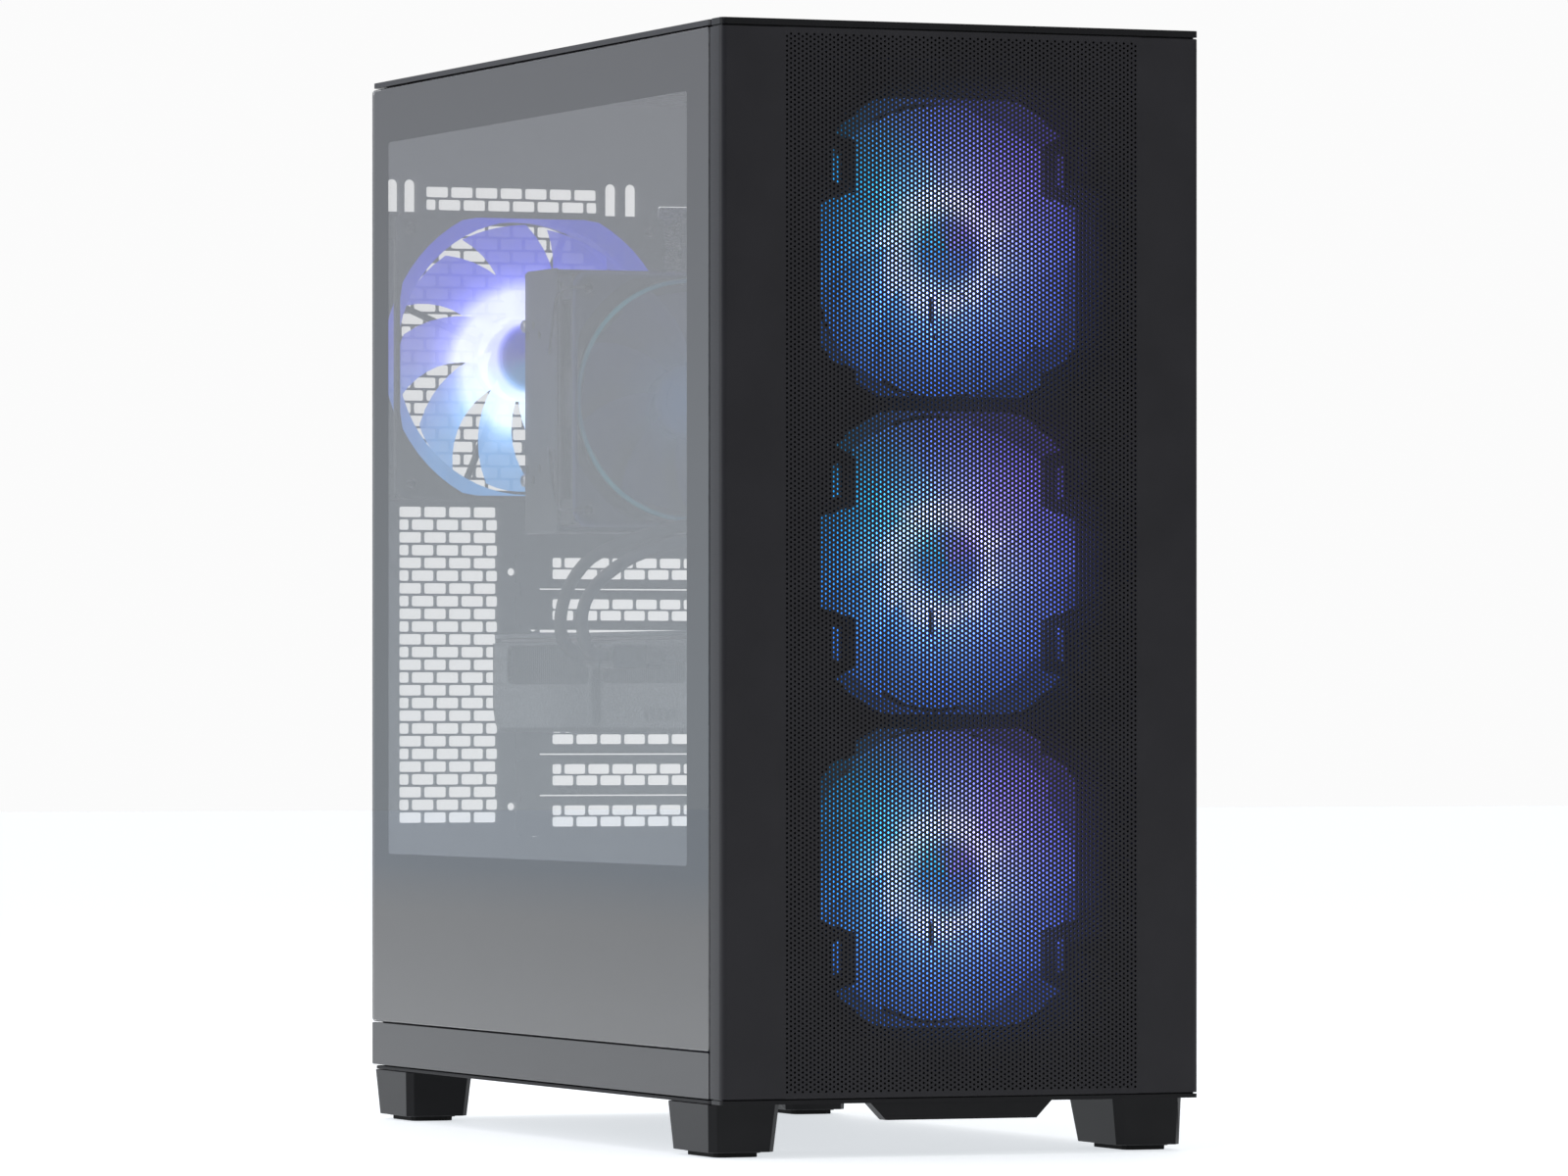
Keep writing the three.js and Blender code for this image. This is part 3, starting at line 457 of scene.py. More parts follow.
def piece(name, shape, materials, stands_for=(), body="chassis", origin=(0, 0, 0), angle=32,
          soften=0.0, tidy=True):
    """Makes a Blender piece of a shape. It rides on a body, and its own origin is `origin`."""
    mesh = bpy.data.meshes.new(name)
    centre = Vector(origin)
    mesh.from_pydata([(Vector(p) - centre) * MM for p in shape.points], [], shape.faces)
    for material in materials:
        mesh.materials.append(material)
    mesh.polygons.foreach_set("material_index", shape.slots)
    if tidy:
        work = bmesh.new()
        work.from_mesh(mesh)
        bmesh.ops.recalc_face_normals(work, faces=work.faces)
        work.to_mesh(mesh)
        work.free()
    mesh.polygons.foreach_set("use_smooth", [True] * len(mesh.polygons))
    mesh.set_sharp_from_angle(angle=math.radians(angle))
    obj = new_object(name, mesh)
    obj.location = centre * MM
    if soften:
        add_bevel(obj, soften)
    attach(obj, body)
    if stands_for:
        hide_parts(*stands_for)
    return obj


def add_bevel(obj, width):
    """Softens the edges of an object by a width in millimetres."""
    bevel = obj.modifiers.new("soft_edges", "BEVEL")
    bevel.width = width * MM
    bevel.segments = 2
    bevel.limit_method = "ANGLE"
    bevel.angle_limit = math.radians(40)
    bevel.harden_normals = True


def new_object(name, data):
    """Puts a mesh, light or camera into the scene."""
    obj = bpy.data.objects.new(name, data)
    bpy.context.scene.collection.objects.link(obj)
    return obj


def dress(name, material):
    """Gives a CAD node its material and soft edges."""
    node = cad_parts[name]
    node.data.materials.clear()
    node.data.materials.append(material)
    weld = node.modifiers.new("joined_corners", "WELD")
    weld.merge_threshold = 0.00001
    add_bevel(node, CAD_EDGE)


# ------------------------------------------------------------------ material library
powder = finish("powder_coat", srgb(25, 24, 28), srgb(30, 29, 33), (0.30, 0.42), 2400, 0.00004, specular=0.32)
inner_steel = finish("inner_coat", srgb(20, 20, 22), srgb(25, 25, 28), (0.55, 0.7), 2000, 0.00003,
                     specular=0.3)
plastic = finish("moulded_plastic", srgb(14, 14, 16), srgb(19, 19, 21), (0.30, 0.40), 3200, 0.00002,
                 specular=0.2)
satin = finish("satin_plastic", srgb(15, 15, 17), srgb(20, 20, 22), (0.25, 0.34), 900, 0.00001)
rubber = finish("soft_rubber", srgb(14, 14, 14), srgb(20, 20, 20), (0.75, 0.9), 1500, 0.00004, specular=0.25)
frit_ink = finish("fired_ink", srgb(30, 31, 34), srgb(34, 35, 38), (0.8, 0.9), 300, 0.000002, specular=0.02)
sill_satin = finish("satin_coat", srgb(26, 26, 29), srgb(30, 30, 33), (0.20, 0.27), 1500, 0.000012)
nickel = finish("nickel_plate", srgb(150, 150, 155), srgb(178, 178, 182), (0.2, 0.32), 900, 0.00001,
                metallic=1.0, stretch=(1, 1, 6))
fin_metal = finish("fin_metal", srgb(58, 59, 63), srgb(74, 75, 80), (0.28, 0.42), 700, 0.00001,
                   metallic=0.9, stretch=(1, 8, 1))
anodised = finish("dark_anodised", srgb(34, 35, 39), srgb(44, 45, 50), (0.32, 0.44), 1400, 0.00001,
                  metallic=0.75, stretch=(1, 6, 1))
screw_metal = finish("black_screw", srgb(30, 30, 32), srgb(52, 52, 56), (0.25, 0.4), 1600, 0.00001,
                     metallic=0.8)
gold = finish("gold_contact", srgb(190, 150, 80), srgb(214, 176, 104), (0.2, 0.3), 1500, 0.000005,
              metallic=1.0)
socket_plastic = finish("socket_plastic", srgb(12, 12, 13), srgb(17, 17, 19), (0.35, 0.45), 2500, 0.00001)
board_mask = finish("board_mask", srgb(54, 26, 28), srgb(64, 33, 34), (0.35, 0.45), 2500, 0.00001)
sleeve = finish("woven_sleeve", srgb(12, 12, 14), srgb(30, 30, 33), (0.7, 0.85), 1400, 0.00015, strength=0.9)
glass = make_glass()
fan_glow = make_glow("lit_blades", 2.6, 0.0)
mouth_glow = make_glow("lit_mouth", 1.1, 0.0)
rear_glow = make_glow("lit_blades_rear", 0.72, 0.3, REAR_HUES, REAR_GLOW)
rear_mouth_glow = make_glow("lit_mouth_rear", 0.6, 0.0, REAR_HUES, REAR_GLOW)
# Painted glints and painted light for the cooler's fan, which has no lamp.
painted_rim_glints = make_glow("rim_painted_glints", 0.8, 0.0, PAINTED_GLINT_HUES, PAINTED_GLINT_LEVELS)
painted_hub_light = make_glow("hub_painted_light", 0.8, 0.0, PAINTED_HUB_LIGHT_HUES, PAINTED_HUB_LIGHT_LEVELS)


# ------------------------------------------------------------------ front
COVER_MESH = {"pitch": 2.17, "hole": 0.60, "side": 86, "edge": 1.6, "sheet": 1.0, "bands": 4}


def perforated(axis, u, v, limits, pitch, hole, bands=1, facing=1):
    """A sheet with round holes on a triangular lattice, as shapes split into bands along v.
    `facing` is 1 where the lower limit is the outer face."""
    step = pitch * math.sqrt(3) / 2
    columns, rows = int((u[1] - u[0]) / step), int((v[1] - v[0]) / pitch - 0.25)
    c, r = np.meshgrid(np.arange(columns), np.arange(rows))
    cu = (u[0] + u[1]) / 2 + (c - (columns - 1) / 2) * step
    cv = (v[0] + v[1]) / 2 + (r - (rows - 1) / 2) * pitch + np.where(c % 2, 0.25, -0.25) * pitch
    cu, cv, row = cu.ravel(), cv.ravel(), r.ravel()
    turn = np.radians(np.arange(6) * 60)
    corner = pitch / math.sqrt(3)
    cells = np.stack([cu[:, None] + corner * np.cos(turn), cv[:, None] + corner * np.sin(turn)], -1)
    holes = np.stack([cu[:, None] + hole * np.cos(turn), cv[:, None] + hole * np.sin(turn)], -1)
    keys = np.round(cells.reshape(-1, 2) / (pitch * 0.01)).astype(np.int64)
    _, first, back = np.unique(keys, axis=0, return_index=True, return_inverse=True)
    shared = cells.reshape(-1, 2)[first].copy()
    shared[shared[:, 0] < cu.min() - 0.4 * corner, 0] = u[0]
    shared[shared[:, 0] > cu.max() + 0.4 * corner, 0] = u[1]
    shared[shared[:, 1] < cv.min() + 1e-3, 1] = v[0]
    shared[shared[:, 1] > cv.max() - 1e-3, 1] = v[1]
    out = []
    for band in range(bands):
        mine = np.where((row * bands) // rows == band)[0]
        cell_ids = back.reshape(-1, 6)[mine]
        used, local = np.unique(cell_ids.ravel(), return_inverse=True)
        local = local.reshape(-1, 6)
        flat = np.concatenate([shared[used], holes[mine].reshape(-1, 2)])
        rim = len(used) + np.arange(len(mine) * 6).reshape(-1, 6)
        after, rim_after = np.roll(local, -1, 1), np.roll(rim, -1, 1)
        face = np.stack([local, after, rim_after, rim], -1).reshape(-1, 4)
        count = len(flat)
        walls = np.stack([rim, rim_after, rim_after + count, rim + count], -1).reshape(-1, 4)
        pairs = np.stack([local, after], -1).reshape(-1, 2)
        _, where, uses = np.unique(np.sort(pairs, 1), axis=0, return_index=True, return_counts=True)
        edge = pairs[where[uses == 1]]
        sides = np.stack([edge[:, 1], edge[:, 0], edge[:, 0] + count, edge[:, 1] + count], -1)
        quads = np.concatenate([face, face[:, ::-1] + count, walls, sides])
        near, far = limits if facing > 0 else limits[::-1]
        shape = Shape()
        shape.points = [place(axis, a, b, near) for a, b in flat.tolist()]
        shape.points += [place(axis, a, b, far) for a, b in flat.tolist()]
        shape.faces = quads.tolist()
        shape.slots = [0] * len(quads)
        out.append(shape)
    return out


def front_cover():
    """The perforated front in bands, with the bent edges that run down both its sides."""
    low, high = node_box("front_cover")
    side, sheet = COVER_MESH["side"], COVER_MESH["sheet"]
    z0, z1 = low[2] + COVER_MESH["edge"], high[2] - COVER_MESH["edge"]
    face = low[1]
    bands = perforated("y", (-side, side), (z0, z1), (face, face + sheet), COVER_MESH["pitch"],
                       COVER_MESH["hole"], COVER_MESH["bands"])
    for number, shape in enumerate(bands, 1):
        piece(f"front_mesh_{number}", shape, [powder], body="front_panel", tidy=False)
    edge, bend = high[0], 3.0
    arc = [(edge - bend + bend * math.sin(t), face + bend - bend * math.cos(t))
           for t in np.radians(np.arange(0, 91, 15))]
    inner = [(edge - bend + (bend - sheet) * math.sin(t), face + bend - (bend - sheet) * math.cos(t))
             for t in np.radians(np.arange(90, -1, -15))]
    half = [(side, face), *arc, (edge, high[1]), (edge - sheet, high[1]), *inner, (side, face + sheet)]
    shape = Shape()
    shape.prism("z", half, (low[2], high[2]), 0.25)
    shape.prism("z", [(-x, y) for x, y in reversed(half)], (low[2], high[2]), 0.25)
    for z in ((low[2], z0), (z1, high[2])):
        shape.box((-side, side), (face, face + sheet), z)
    piece("front_cover_edges", shape, [powder], ["front_cover"], "front_panel")


CLIP_X, CLIP_Z = 103, (60, 200, 340, 470)


def front_clips():
    """Ball studs and stiffening ribs on the back of the front panel's plastic frame."""
    back = node_box("front_panel_frame")[1][1]
    shape = Shape()
    for x in (-CLIP_X, CLIP_X):
        for z in CLIP_Z:
            shape.turned("y", (x, z), [(2.2, back - 1.5), (2.2, back - 0.4), (3, back - 0.1)], 16)
        for rib in (x - 8, x + 6):
            shape.box((rib, rib + 2), (back - 3.5, back - 0.4), (45, 485), 0.3)
    piece("front_frame_ribs", shape, [plastic], body="front_panel")


# ------------------------------------------------------------------ glass side
WINDOW = {"y": (-191, 209.5), "z": (129.5, 476)}


def glass_side():
    """The tinted pane, with a dark border fired onto its inner face round the window."""
    low, high = node_box("glass_panel")
    outline = rounded((low[1], high[1]), (low[2], high[2]), 2.4, 6)
    pane = piece("glass_pane", Shape().prism("x", outline, (low[0], high[0]), 0.35), [glass],
                 ["glass_panel"], "glass_side")
    pane.visible_shadow = False
    window = rounded(WINDOW["y"], WINDOW["z"], 2, 4)
    border = Shape().sheet("x", offset_loop(outline, 0.6), [window], (high[0] - 0.5, high[0] - 0.35))
    piece("glass_border", border, [frit_ink], body="glass_side")


# ------------------------------------------------------------------ fans
BORE_GAP = 2.8
MOUTH_EDGE = 2.2
MOUTH_FLARE = 1.078
FLANGE = 3.4
CASE_FAN_HOLES = 124.5
COOLER_FAN_HOLES = 105


def clipped_circle(half, radius, sides):
    """A circle cut off by a square, from the middle of its right side, anticlockwise."""
    out = []
    for t in steps(sides):
        reach = min(radius, half / max(abs(math.cos(t)), abs(math.sin(t))))
        out.append((reach * math.cos(t), reach * math.sin(t)))
    return out


def fan_frame(name, lining, spacing):
    """A square frame with a mouth, wide at its corners, that narrows to a round bore."""
    node = f"{name}_frame"
    (x0, y0, z0), (x1, y1, z1) = node_box(node)
    cx, _, cz = middle = centre_of(node)
    half = (x1 - x0) / 2
    bore = half - BORE_GAP
    mouth = [(cx + u, cz + v) for u, v in clipped_circle(half - MOUTH_EDGE, half * MOUTH_FLARE, 64)]
    circle = disc(cx, cz, bore, 64)
    square = rounded((x0, x1), (z0, z1), 5, 5)
    holes = crosswise((cx, cz), spacing / 2)
    screws = [disc(*hole, 2.3, 16) for hole in holes]
    shape = Shape()
    shape.sheet("y", square, [mouth, *screws], (y0, y0 + FLANGE))
    shape.sheet("y", square, [circle, *screws], (y1 - FLANGE, y1))
    loops = [(mouth, y0 + 0.2, 0), (circle, y0 + 6, 0), (circle, y1 - 0.2, 0), (circle, y1 - 0.2, -1.6),
             (circle, y0 + 6, -1.6), (mouth, y0 + 3, -1.2)]
    rings = [[place("y", u, v, y) for u, v in offset_loop(loop, inset)] for loop, y, inset in loops]
    liner = Shape().loft(rings, closed=True)
    piece(f"{name}_mouth", liner, [lining], origin=middle)
    inner, wall, outer = spacing / 2 - 5.5, half - 1.8, half - 0.6
    pads = Shape()
    for (sx, sz), hole in zip(crosswise((0, 0), 1), holes):
        shape.ring("y", hole, 2.4, 4.6, (y0 + 3.2, y1 - 3.2), 20)
        for across, up in ((inner, wall), (wall, inner)):
            shape.box((cx + sx * across, cx + sx * outer), (y0 + 3, y1 - 3),
                      (cz + sz * up, cz + sz * outer), 0.3)
        for y in ((y0 - 0.05, y0 + 0.9), (y1 - 0.9, y1 + 0.05)):
            pads.ring("y", hole, 2.6, 5.2, y, 24, 0.2)
    shape.turned("y", (cx, cz), [(20.5, y1 - 4.2), (21.8, y1 - 3.6), (21.8, y1 - 0.8), (21, y1 - 0.2)], 40)
    shape.spokes("y", (cx, cz), range(23, 360, 90), (18, bore + 0.8), (y1 - 3.6, y1 - 0.6), (-1.5, 1.5), 0.5)
    piece(f"{name}_shell", shape, [plastic], [node])
    piece(f"{name}_pads", pads, [rubber])


BLADE = {"thick": 1.3, "stations": 9, "across": 9, "root_lean": 42, "tip_lean": 20, "root_chord": 0.95,
         "camber": 1.8}


def blades(count, root, tip, front, back, chord, sweep, widen):
    """Swept, twisted blades round the Y axis, as one shape centred on the axis."""
    shape = Shape()
    stations, across = BLADE["stations"], BLADE["across"]
    middle = (front + back) / 2
    for k in range(count):
        rings = []
        for i in range(stations):
            f = i / (stations - 1)
            r = root + (tip - root) * f
            pitch = math.radians(BLADE["root_lean"] + (BLADE["tip_lean"] - BLADE["root_lean"]) * f)
            half = chord * (BLADE["root_chord"] + widen * f) / 2
            lead = sweep * (f ** 1.4)
            upper, lower = [], []
            for j in range(across):
                s = -1 + 2 * j / (across - 1)
                camber = BLADE["camber"] * (1 - s * s)
                body = BLADE["thick"] / 2 * math.sqrt(max(0.05, 1 - abs(s) ** 3))
                for side, store in ((1, upper), (-1, lower)):
                    run = s * half * math.cos(pitch) - (camber + side * body) * math.sin(pitch)
                    rise = s * half * math.sin(pitch) + (camber + side * body) * math.cos(pitch)
                    angle = 2 * math.pi * k / count + lead + run / r
                    rise = min(max(middle + rise, front + 0.3), back - 0.1)
                    store.append((r * math.cos(angle), rise, r * math.sin(angle)))
            rings.append(upper + lower[::-1])
        shape.loft(rings)
    return shape


def rotor(name, node, axis, body, material, hub, count, chord, sweep, widen=1.3):
    """A fan wheel in the space of its CAD node. Its own origin is the middle of the wheel."""
    low, high = node_box(node)
    along = "xyz".index(axis)
    centre = centre_of(node)
    reach = max(high[a] - low[a] for a in range(3) if a != along) / 2
    front, back = low[along] - centre[along], high[along] - centre[along]
    shape = blades(count, hub - 1.2, reach - 0.3, front + 1.0, back - 0.4, chord, sweep, widen)
    shape.turned("y", (0, 0), [(hub - 5, front), (hub - 2.2, front + 0.25), (hub - 0.7, front + 1.2),
                               (hub, front + 3.2), (hub, back - 0.6), (hub - 0.8, back)], 48)
    shape.ring("y", (0, 0), hub - 6.4, hub - 5.6, (front - 0.25, front + 0.4), 48, 0.1)
    turn = Matrix.Rotation(math.pi / 2, 4, "X") if axis == "z" else Matrix.Identity(4)
    shape.moved(Matrix.Translation(centre) @ turn)
    piece(name, shape, [material], [node], body, centre, 40)
    return centre


def case_fans():
    """Three lit fans behind the front, and one on the rear wall."""
    for place_name in ("upper", "middle", "lower"):
        stem = f"front_fan_{place_name}"
        fan_frame(stem, mouth_glow, CASE_FAN_HOLES)
        rotor(f"{stem}_blades", f"{stem}_rotor", "y", f"{place_name}_front_rotor",
              fan_glow, 21, 9, 27, 0.42)
    fan_frame("rear_fan", rear_mouth_glow, CASE_FAN_HOLES)
    rotor("rear_fan_blades", "rear_fan_rotor", "y", "rear_rotor", rear_glow, 21, 9, 27,
          0.42, 0.25)


# ------------------------------------------------------------------ rear wall
BRICK = {"wide": 11.5, "high": 5.1, "step": 12.9, "row": 6.24}
PLATE_BRICK = {"wide": 11.2, "high": 4.8, "step": 12.6, "row": 5.65}
SIDE_VENT = {"x": (-100.2, -49.1), "z": (142.9, 299.1)}
FAN_VENT = {"x": (-99.1, 30), "top": 456, "reach": 66}
TOP_VENT_X = (-86.2, 3)
ARCHES = {"x": (-103.9, -94.9, 10.2, 20.7), "z": (443.4, 456.6), "half": 2.7}
FAN_SLOTS = {"x": (-106.7, 24), "z": (318, 331), "half": 2.2}
SMALL_HOLES = ((-42, 267.4), (-30.4, 240), (-42, 152), (-30, 139))
THUMBSCREW_X, THUMBSCREW_Z = 105, (90, 440)
SLOT_STEP = 20.32
SLOTS = 7
CARD_SLOTS = (2, 3)
PLATE_HALF = 9.85


def bricks(x, z, brick, keep=None, turned=0):
    """Brick-shaped openings in rows between limits, half bricks at the ends of alternate rows."""
    out = []
    rows = round((z[1] - z[0] + brick["row"] - brick["high"]) / brick["row"])
    for r in range(rows):
        top = z[1] - r * brick["row"]
        start = x[0] - (brick["step"] / 2 if (r + turned) % 2 else 0)
        while start < x[1] - 2:
            u0, u1 = max(start, x[0]), min(start + brick["wide"], x[1])
            start += brick["step"]
            if u1 - u0 < 2.4:
                continue
            middle = ((u0 + u1) / 2, top - brick["high"] / 2)
            if keep is None or keep(*middle):
                out.append(rounded((u0, u1), (top - brick["high"], top), 0.9, 2))
    return out


def rear_wall():
    """The punched rear wall, with a lip under the roof and beads round the card slots."""
    low, high = node_box("rear_panel")
    fan_x, _, fan_z = centre_of("rear_fan_frame")

    def behind_fan(x, z):
        return math.hypot(x - fan_x, z - fan_z) < FAN_VENT["reach"]

    io_low, io_high = node_box("rear_io_block")
    cover_low, cover_high = node_box("slot_covers")
    psu_low, psu_high = node_box("psu_case")
    openings = [
        rounded((io_low[0] - 0.4, 80), (io_low[2] - 0.4, io_high[2] + 0.4), 1, 2),
        rounded((-27, 82), (cover_low[2] + 0.8, cover_high[2] - 0.3), 1, 2),
        rounded((psu_low[0] + 3, psu_high[0] - 3), (psu_low[2] + 4, psu_high[2] - 3), 4, 4),
        *bricks(SIDE_VENT["x"], SIDE_VENT["z"], BRICK),
        *bricks(TOP_VENT_X, (FAN_VENT["top"] - BRICK["row"] - BRICK["high"], FAN_VENT["top"]), BRICK),
        *bricks(FAN_VENT["x"], (fan_z - FAN_VENT["reach"], FAN_VENT["top"] - 2 * BRICK["row"]), BRICK,
                behind_fan),
    ]
    half, (foot, spring) = ARCHES["half"], ARCHES["z"]
    for x in ARCHES["x"]:
        arch = [(x + half * math.cos(a), spring + half * math.sin(a)) for a in np.linspace(0, math.pi, 12)]
        openings.append([(x - half, foot), (x + half, foot), *arch])
    half = FAN_SLOTS["half"]
    openings += [rounded((x - half, x + half), FAN_SLOTS["z"], half - 0.1, 4) for x in FAN_SLOTS["x"]]
    openings += [disc(x, z, 1.9, 12) for x, z in SMALL_HOLES]
    openings += [disc(THUMBSCREW_X, z, 2.4, 16) for z in THUMBSCREW_Z]
    shape = Shape().sheet("y", rounded((low[0], high[0]), (low[2], high[2]), 2, 3), openings,
                          (low[1], high[1]))
    roof = node_box("top_panel")[0][2] - 0.2
    shape.box((low[0] + 2, high[0] - 2), (low[1] - 5, high[1] - 0.1), (high[2] - 0.6, roof))
    for z in (134.6, 281.6):
        shape.box((-44, 86), (high[1] - 0.1, high[1] + 0.5), (z - 1, z + 1), 0.4)
    shape.prism("y", rounded((-48, -45), (136, 284), 1.4, 4), (high[1] - 0.2, high[1] + 0.9), 0.3)
    piece("rear_wall", shape, [powder], ["rear_panel"])


def slot_plates():
    """A vented blanking plate in each slot that the card leaves free, and a screw at every slot."""
    low, high = node_box("slot_covers")
    shape = Shape()
    top = high[2] - 9.4
    for slot in range(SLOTS):
        if slot in CARD_SLOTS:
            continue
        z = top - slot * SLOT_STEP
        outline = rounded((low[0] + 6.4, high[0]), (z - PLATE_HALF, z + PLATE_HALF), 1, 2)
        vents = bricks((-20.8, 81), (z - 5.25, z + 5.25), PLATE_BRICK, turned=1)
        shape.sheet("y", outline, vents, (low[1], high[1]))
        shape.box((low[0] + 4, low[0] + 7), (low[1], high[1]), (z - 7, z + 7), 0.2)
    piece("slot_plates", shape, [powder], ["slot_covers"])
    heads = Shape()
    for slot in range(SLOTS):
        screw(heads, (low[0] + 6.5, top - slot * SLOT_STEP + 3), high[1] + 1.4, 3.1)
    piece("slot_screws", heads, [screw_metal, socket_plastic])


def screw(shape, centre, face, radius):
    """A pan head with a crossed recess that faces the rear, on slots 0 and 1. `face` is its top."""
    head = [(0.72, 2.1), (1, 1.9), (1, 0.9), (0.86, 0.35), (0.5, 0.08)]
    shape.use(0).turned("y", centre, [*((radius * share, face - depth) for share, depth in head),
                                      (0.2, face)], 20)
    shape.use(1)
    x, z = centre
    for wide, tall in ((radius * 0.95, 0.5), (0.5, radius * 0.95)):
        shape.box((x - wide / 2, x + wide / 2), (face - 0.5, face + 0.03), (z - tall / 2, z + tall / 2))
    shape.use(0)


# ------------------------------------------------------------------ processor cooler
FIN_STACK = {"fins": 50, "thick": 0.45, "under_cap": 2.2, "teeth": 14, "notch": 2.2}
PIPE_RADIUS = 3


def cooler_fins():
    """The fin stack, notched along both edges, under a top plate."""
    low, high = node_box("cooler_fins")
    first, teeth = low[0] + FIN_STACK["under_cap"], FIN_STACK["teeth"]
    pitch = (high[0] - FIN_STACK["under_cap"] - low[0]) / FIN_STACK["fins"]
    rise = [(low[2] + 0.6 + (high[2] - low[2] - 1.2) * i / teeth, FIN_STACK["notch"] if i % 2 else 0)
            for i in range(teeth + 1)]
    outline = [(low[1] + 0.4 + notch, z) for z, notch in rise]
    outline += [(high[1] - 0.4 - notch, z) for z, notch in rise[::-1]]
    fins = Shape()
    for k in range(FIN_STACK["fins"]):
        x = first + k * pitch
        fins.prism("x", outline, (x, x + FIN_STACK["thick"]))
    piece("cooler_fin_stack", fins, [fin_metal], ["cooler_fins"])
    cap = Shape()
    cap.prism("x", rounded((low[1], high[1]), (low[2], high[2]), 3, 4), (low[0], low[0] + 1.4), 0.5)
    for y in (low[1] + 9, high[1] - 9):
        cap.box((low[0] + 0.9, low[0] + 1.9), (y - 0.8, y + 0.8), (low[2] + 8, high[2] - 8), 0.3)
    for edge, inward in ((low[1], 1), (high[1], -1)):
        for z in ((low[2] + 1, low[2] + 3.5), (high[2] - 3.5, high[2] - 1)):
            cap.box((low[0], high[0] - 8), (edge, edge + inward * 0.5), z, 0.2)
    piece("cooler_top_plate", cap, [anodised])


def cooler_pipes():
    """Four heat pipes that rise from the cold plate at both sides, with domed ends over the top plate."""
    low, high = node_box("cooler_fins")
    foot = node_box("cooler_base")[1][0]
    _, mid_y, mid_z = centre_of("cooler_base")
    pipes = Shape()
    for k in range(4):
        y = mid_y + (k - 1.5) * 8
        for side in (-1, 1):
            z = mid_z + side * (32 + 5 * (k % 2))
            path = curve([(foot - 7, y, mid_z + side * 14), (foot - 7.5, y, mid_z + side * 24),
                          (foot - 14, y, z - side * 2), (foot - 24, y, z), (high[0], y, z)], 6)
            pipes.tube([*path, (low[0] + 1, y, z)], PIPE_RADIUS, 16)
            dome = [(PIPE_RADIUS, low[0] + 1.6), (PIPE_RADIUS, low[0] + 0.6), (2.2, low[0])]
            pipes.turned("x", (y, z), dome, 16)
    piece("cooler_heat_pipes", pipes, [nickel])


def cooler_mount():
    """The cold plate, and a bar over it on two sprung posts."""
    low, high = node_box("cooler_base")
    foot = high[0]
    _, mid_y, mid_z = centre_of("cooler_base")
    base = Shape()
    base.box((foot - 10, foot), (mid_y - 20, mid_y + 20), (mid_z - 20, mid_z + 20), 0.8)
    base.box((foot - 13, foot - 10), (mid_y - 19, mid_y + 19), (mid_z - 17, mid_z + 17), 0.6)
    base.box((foot - 15.5, foot - 13), (mid_y - 6, mid_y + 6), (low[2], high[2]), 0.6)
    for z in (mid_z - 40, mid_z + 40):
        base.rod("x", (mid_y, z), 3.4, (foot - 26, foot - 15.5), 20, 0.6)
        base.rod("x", (mid_y, z), 2, (foot - 15.5, foot), 16)
        for y in (mid_y - 14, mid_y + 14):
            base.box((foot - 3, foot - 1), (y - 4, y + 4), (z - 3, z + 3), 0.5)
    piece("cooler_mount", base, [nickel], ["cooler_base"])


def cooler_clips():
    """Four bent wires that hold the fan to the fin stack."""
    low, high = node_box("cooler_fan_frame")
    mid_z = centre_of("cooler_base")[2]
    clips = Shape()
    for side, x in ((-1, low[0] - 0.1), (1, high[0] + 0.1)):
        for z in (low[2] + 7.5, high[2] - 7.5):
            inward = 1 if z < mid_z else -1
            path = curve([(x - side * 6, low[1] + 0.6, z), (x, low[1] + 1.2, z),
                          (x, high[1] - 3, z + inward * 3), (x, high[1] + 6, z + inward * 26),
                          (x - side * 2, high[1] + 14, z + inward * 30)], 6)
            clips.tube(path, 0.7, 8)
    piece("cooler_fan_clips", clips, [anodised])


def cooler_fan():
    """The cooler's fan, with a thin ring in its mouth that carries painted glints, painted light on its
    blades near the hub, and lighter metal strips round each flange as a painted highlight along the frame's
    edges.
    """
    fan_frame("cooler_fan", plastic, COOLER_FAN_HOLES)
    middle = rotor("cooler_fan_blades", "cooler_fan_rotor", "y", "cooler_rotor", painted_hub_light,
                   18, 9, 26, 0.34)
    low, high = node_box("cooler_fan_frame")
    cx, _, cz = centre_of("cooler_fan_frame")
    # A thin ring in the fan's mouth that carries the painted glints.
    painted_glint_ring = Shape().ring("y", (cx, cz), 55.6, 57.6, (low[1] + 1.2, low[1] + 2.6), 96, 0.3)
    piece("cooler_fan_painted_glint_ring", painted_glint_ring, [painted_rim_glints], origin=middle)
    # Lighter metal strips round each flange: a painted highlight for the lit edges of the frame.
    cut = 5
    outline = [(high[0], high[2] - cut), (high[0] - cut, high[2]), (low[0] + cut, high[2]),
               (low[0], high[2] - cut), (low[0], low[2] + cut), (low[0] + cut, low[2]),
               (high[0] - cut, low[2]), (high[0], low[2] + cut)]
    outer, inner = ([(cx + (x - cx) * size, cz + (z - cz) * size) for x, z in outline]
                    for size in (1.003, 0.985))
    highlight_strips = Shape()
    for y in (low[1] - 0.1, low[1] + 18):
        highlight_strips.sheet("y", outer, [inner], (y, y + 0.9))
    piece("cooler_fan_highlight_strips", highlight_strips, [fin_metal])


# ------------------------------------------------------------------ graphics card
POST = (70, 84)
POWER_PLUG_Y = (37, 18)
CASING_WALL = 2.2
CASING_DROP = 4.1
CARD_FAN_MOUTH = 47.3


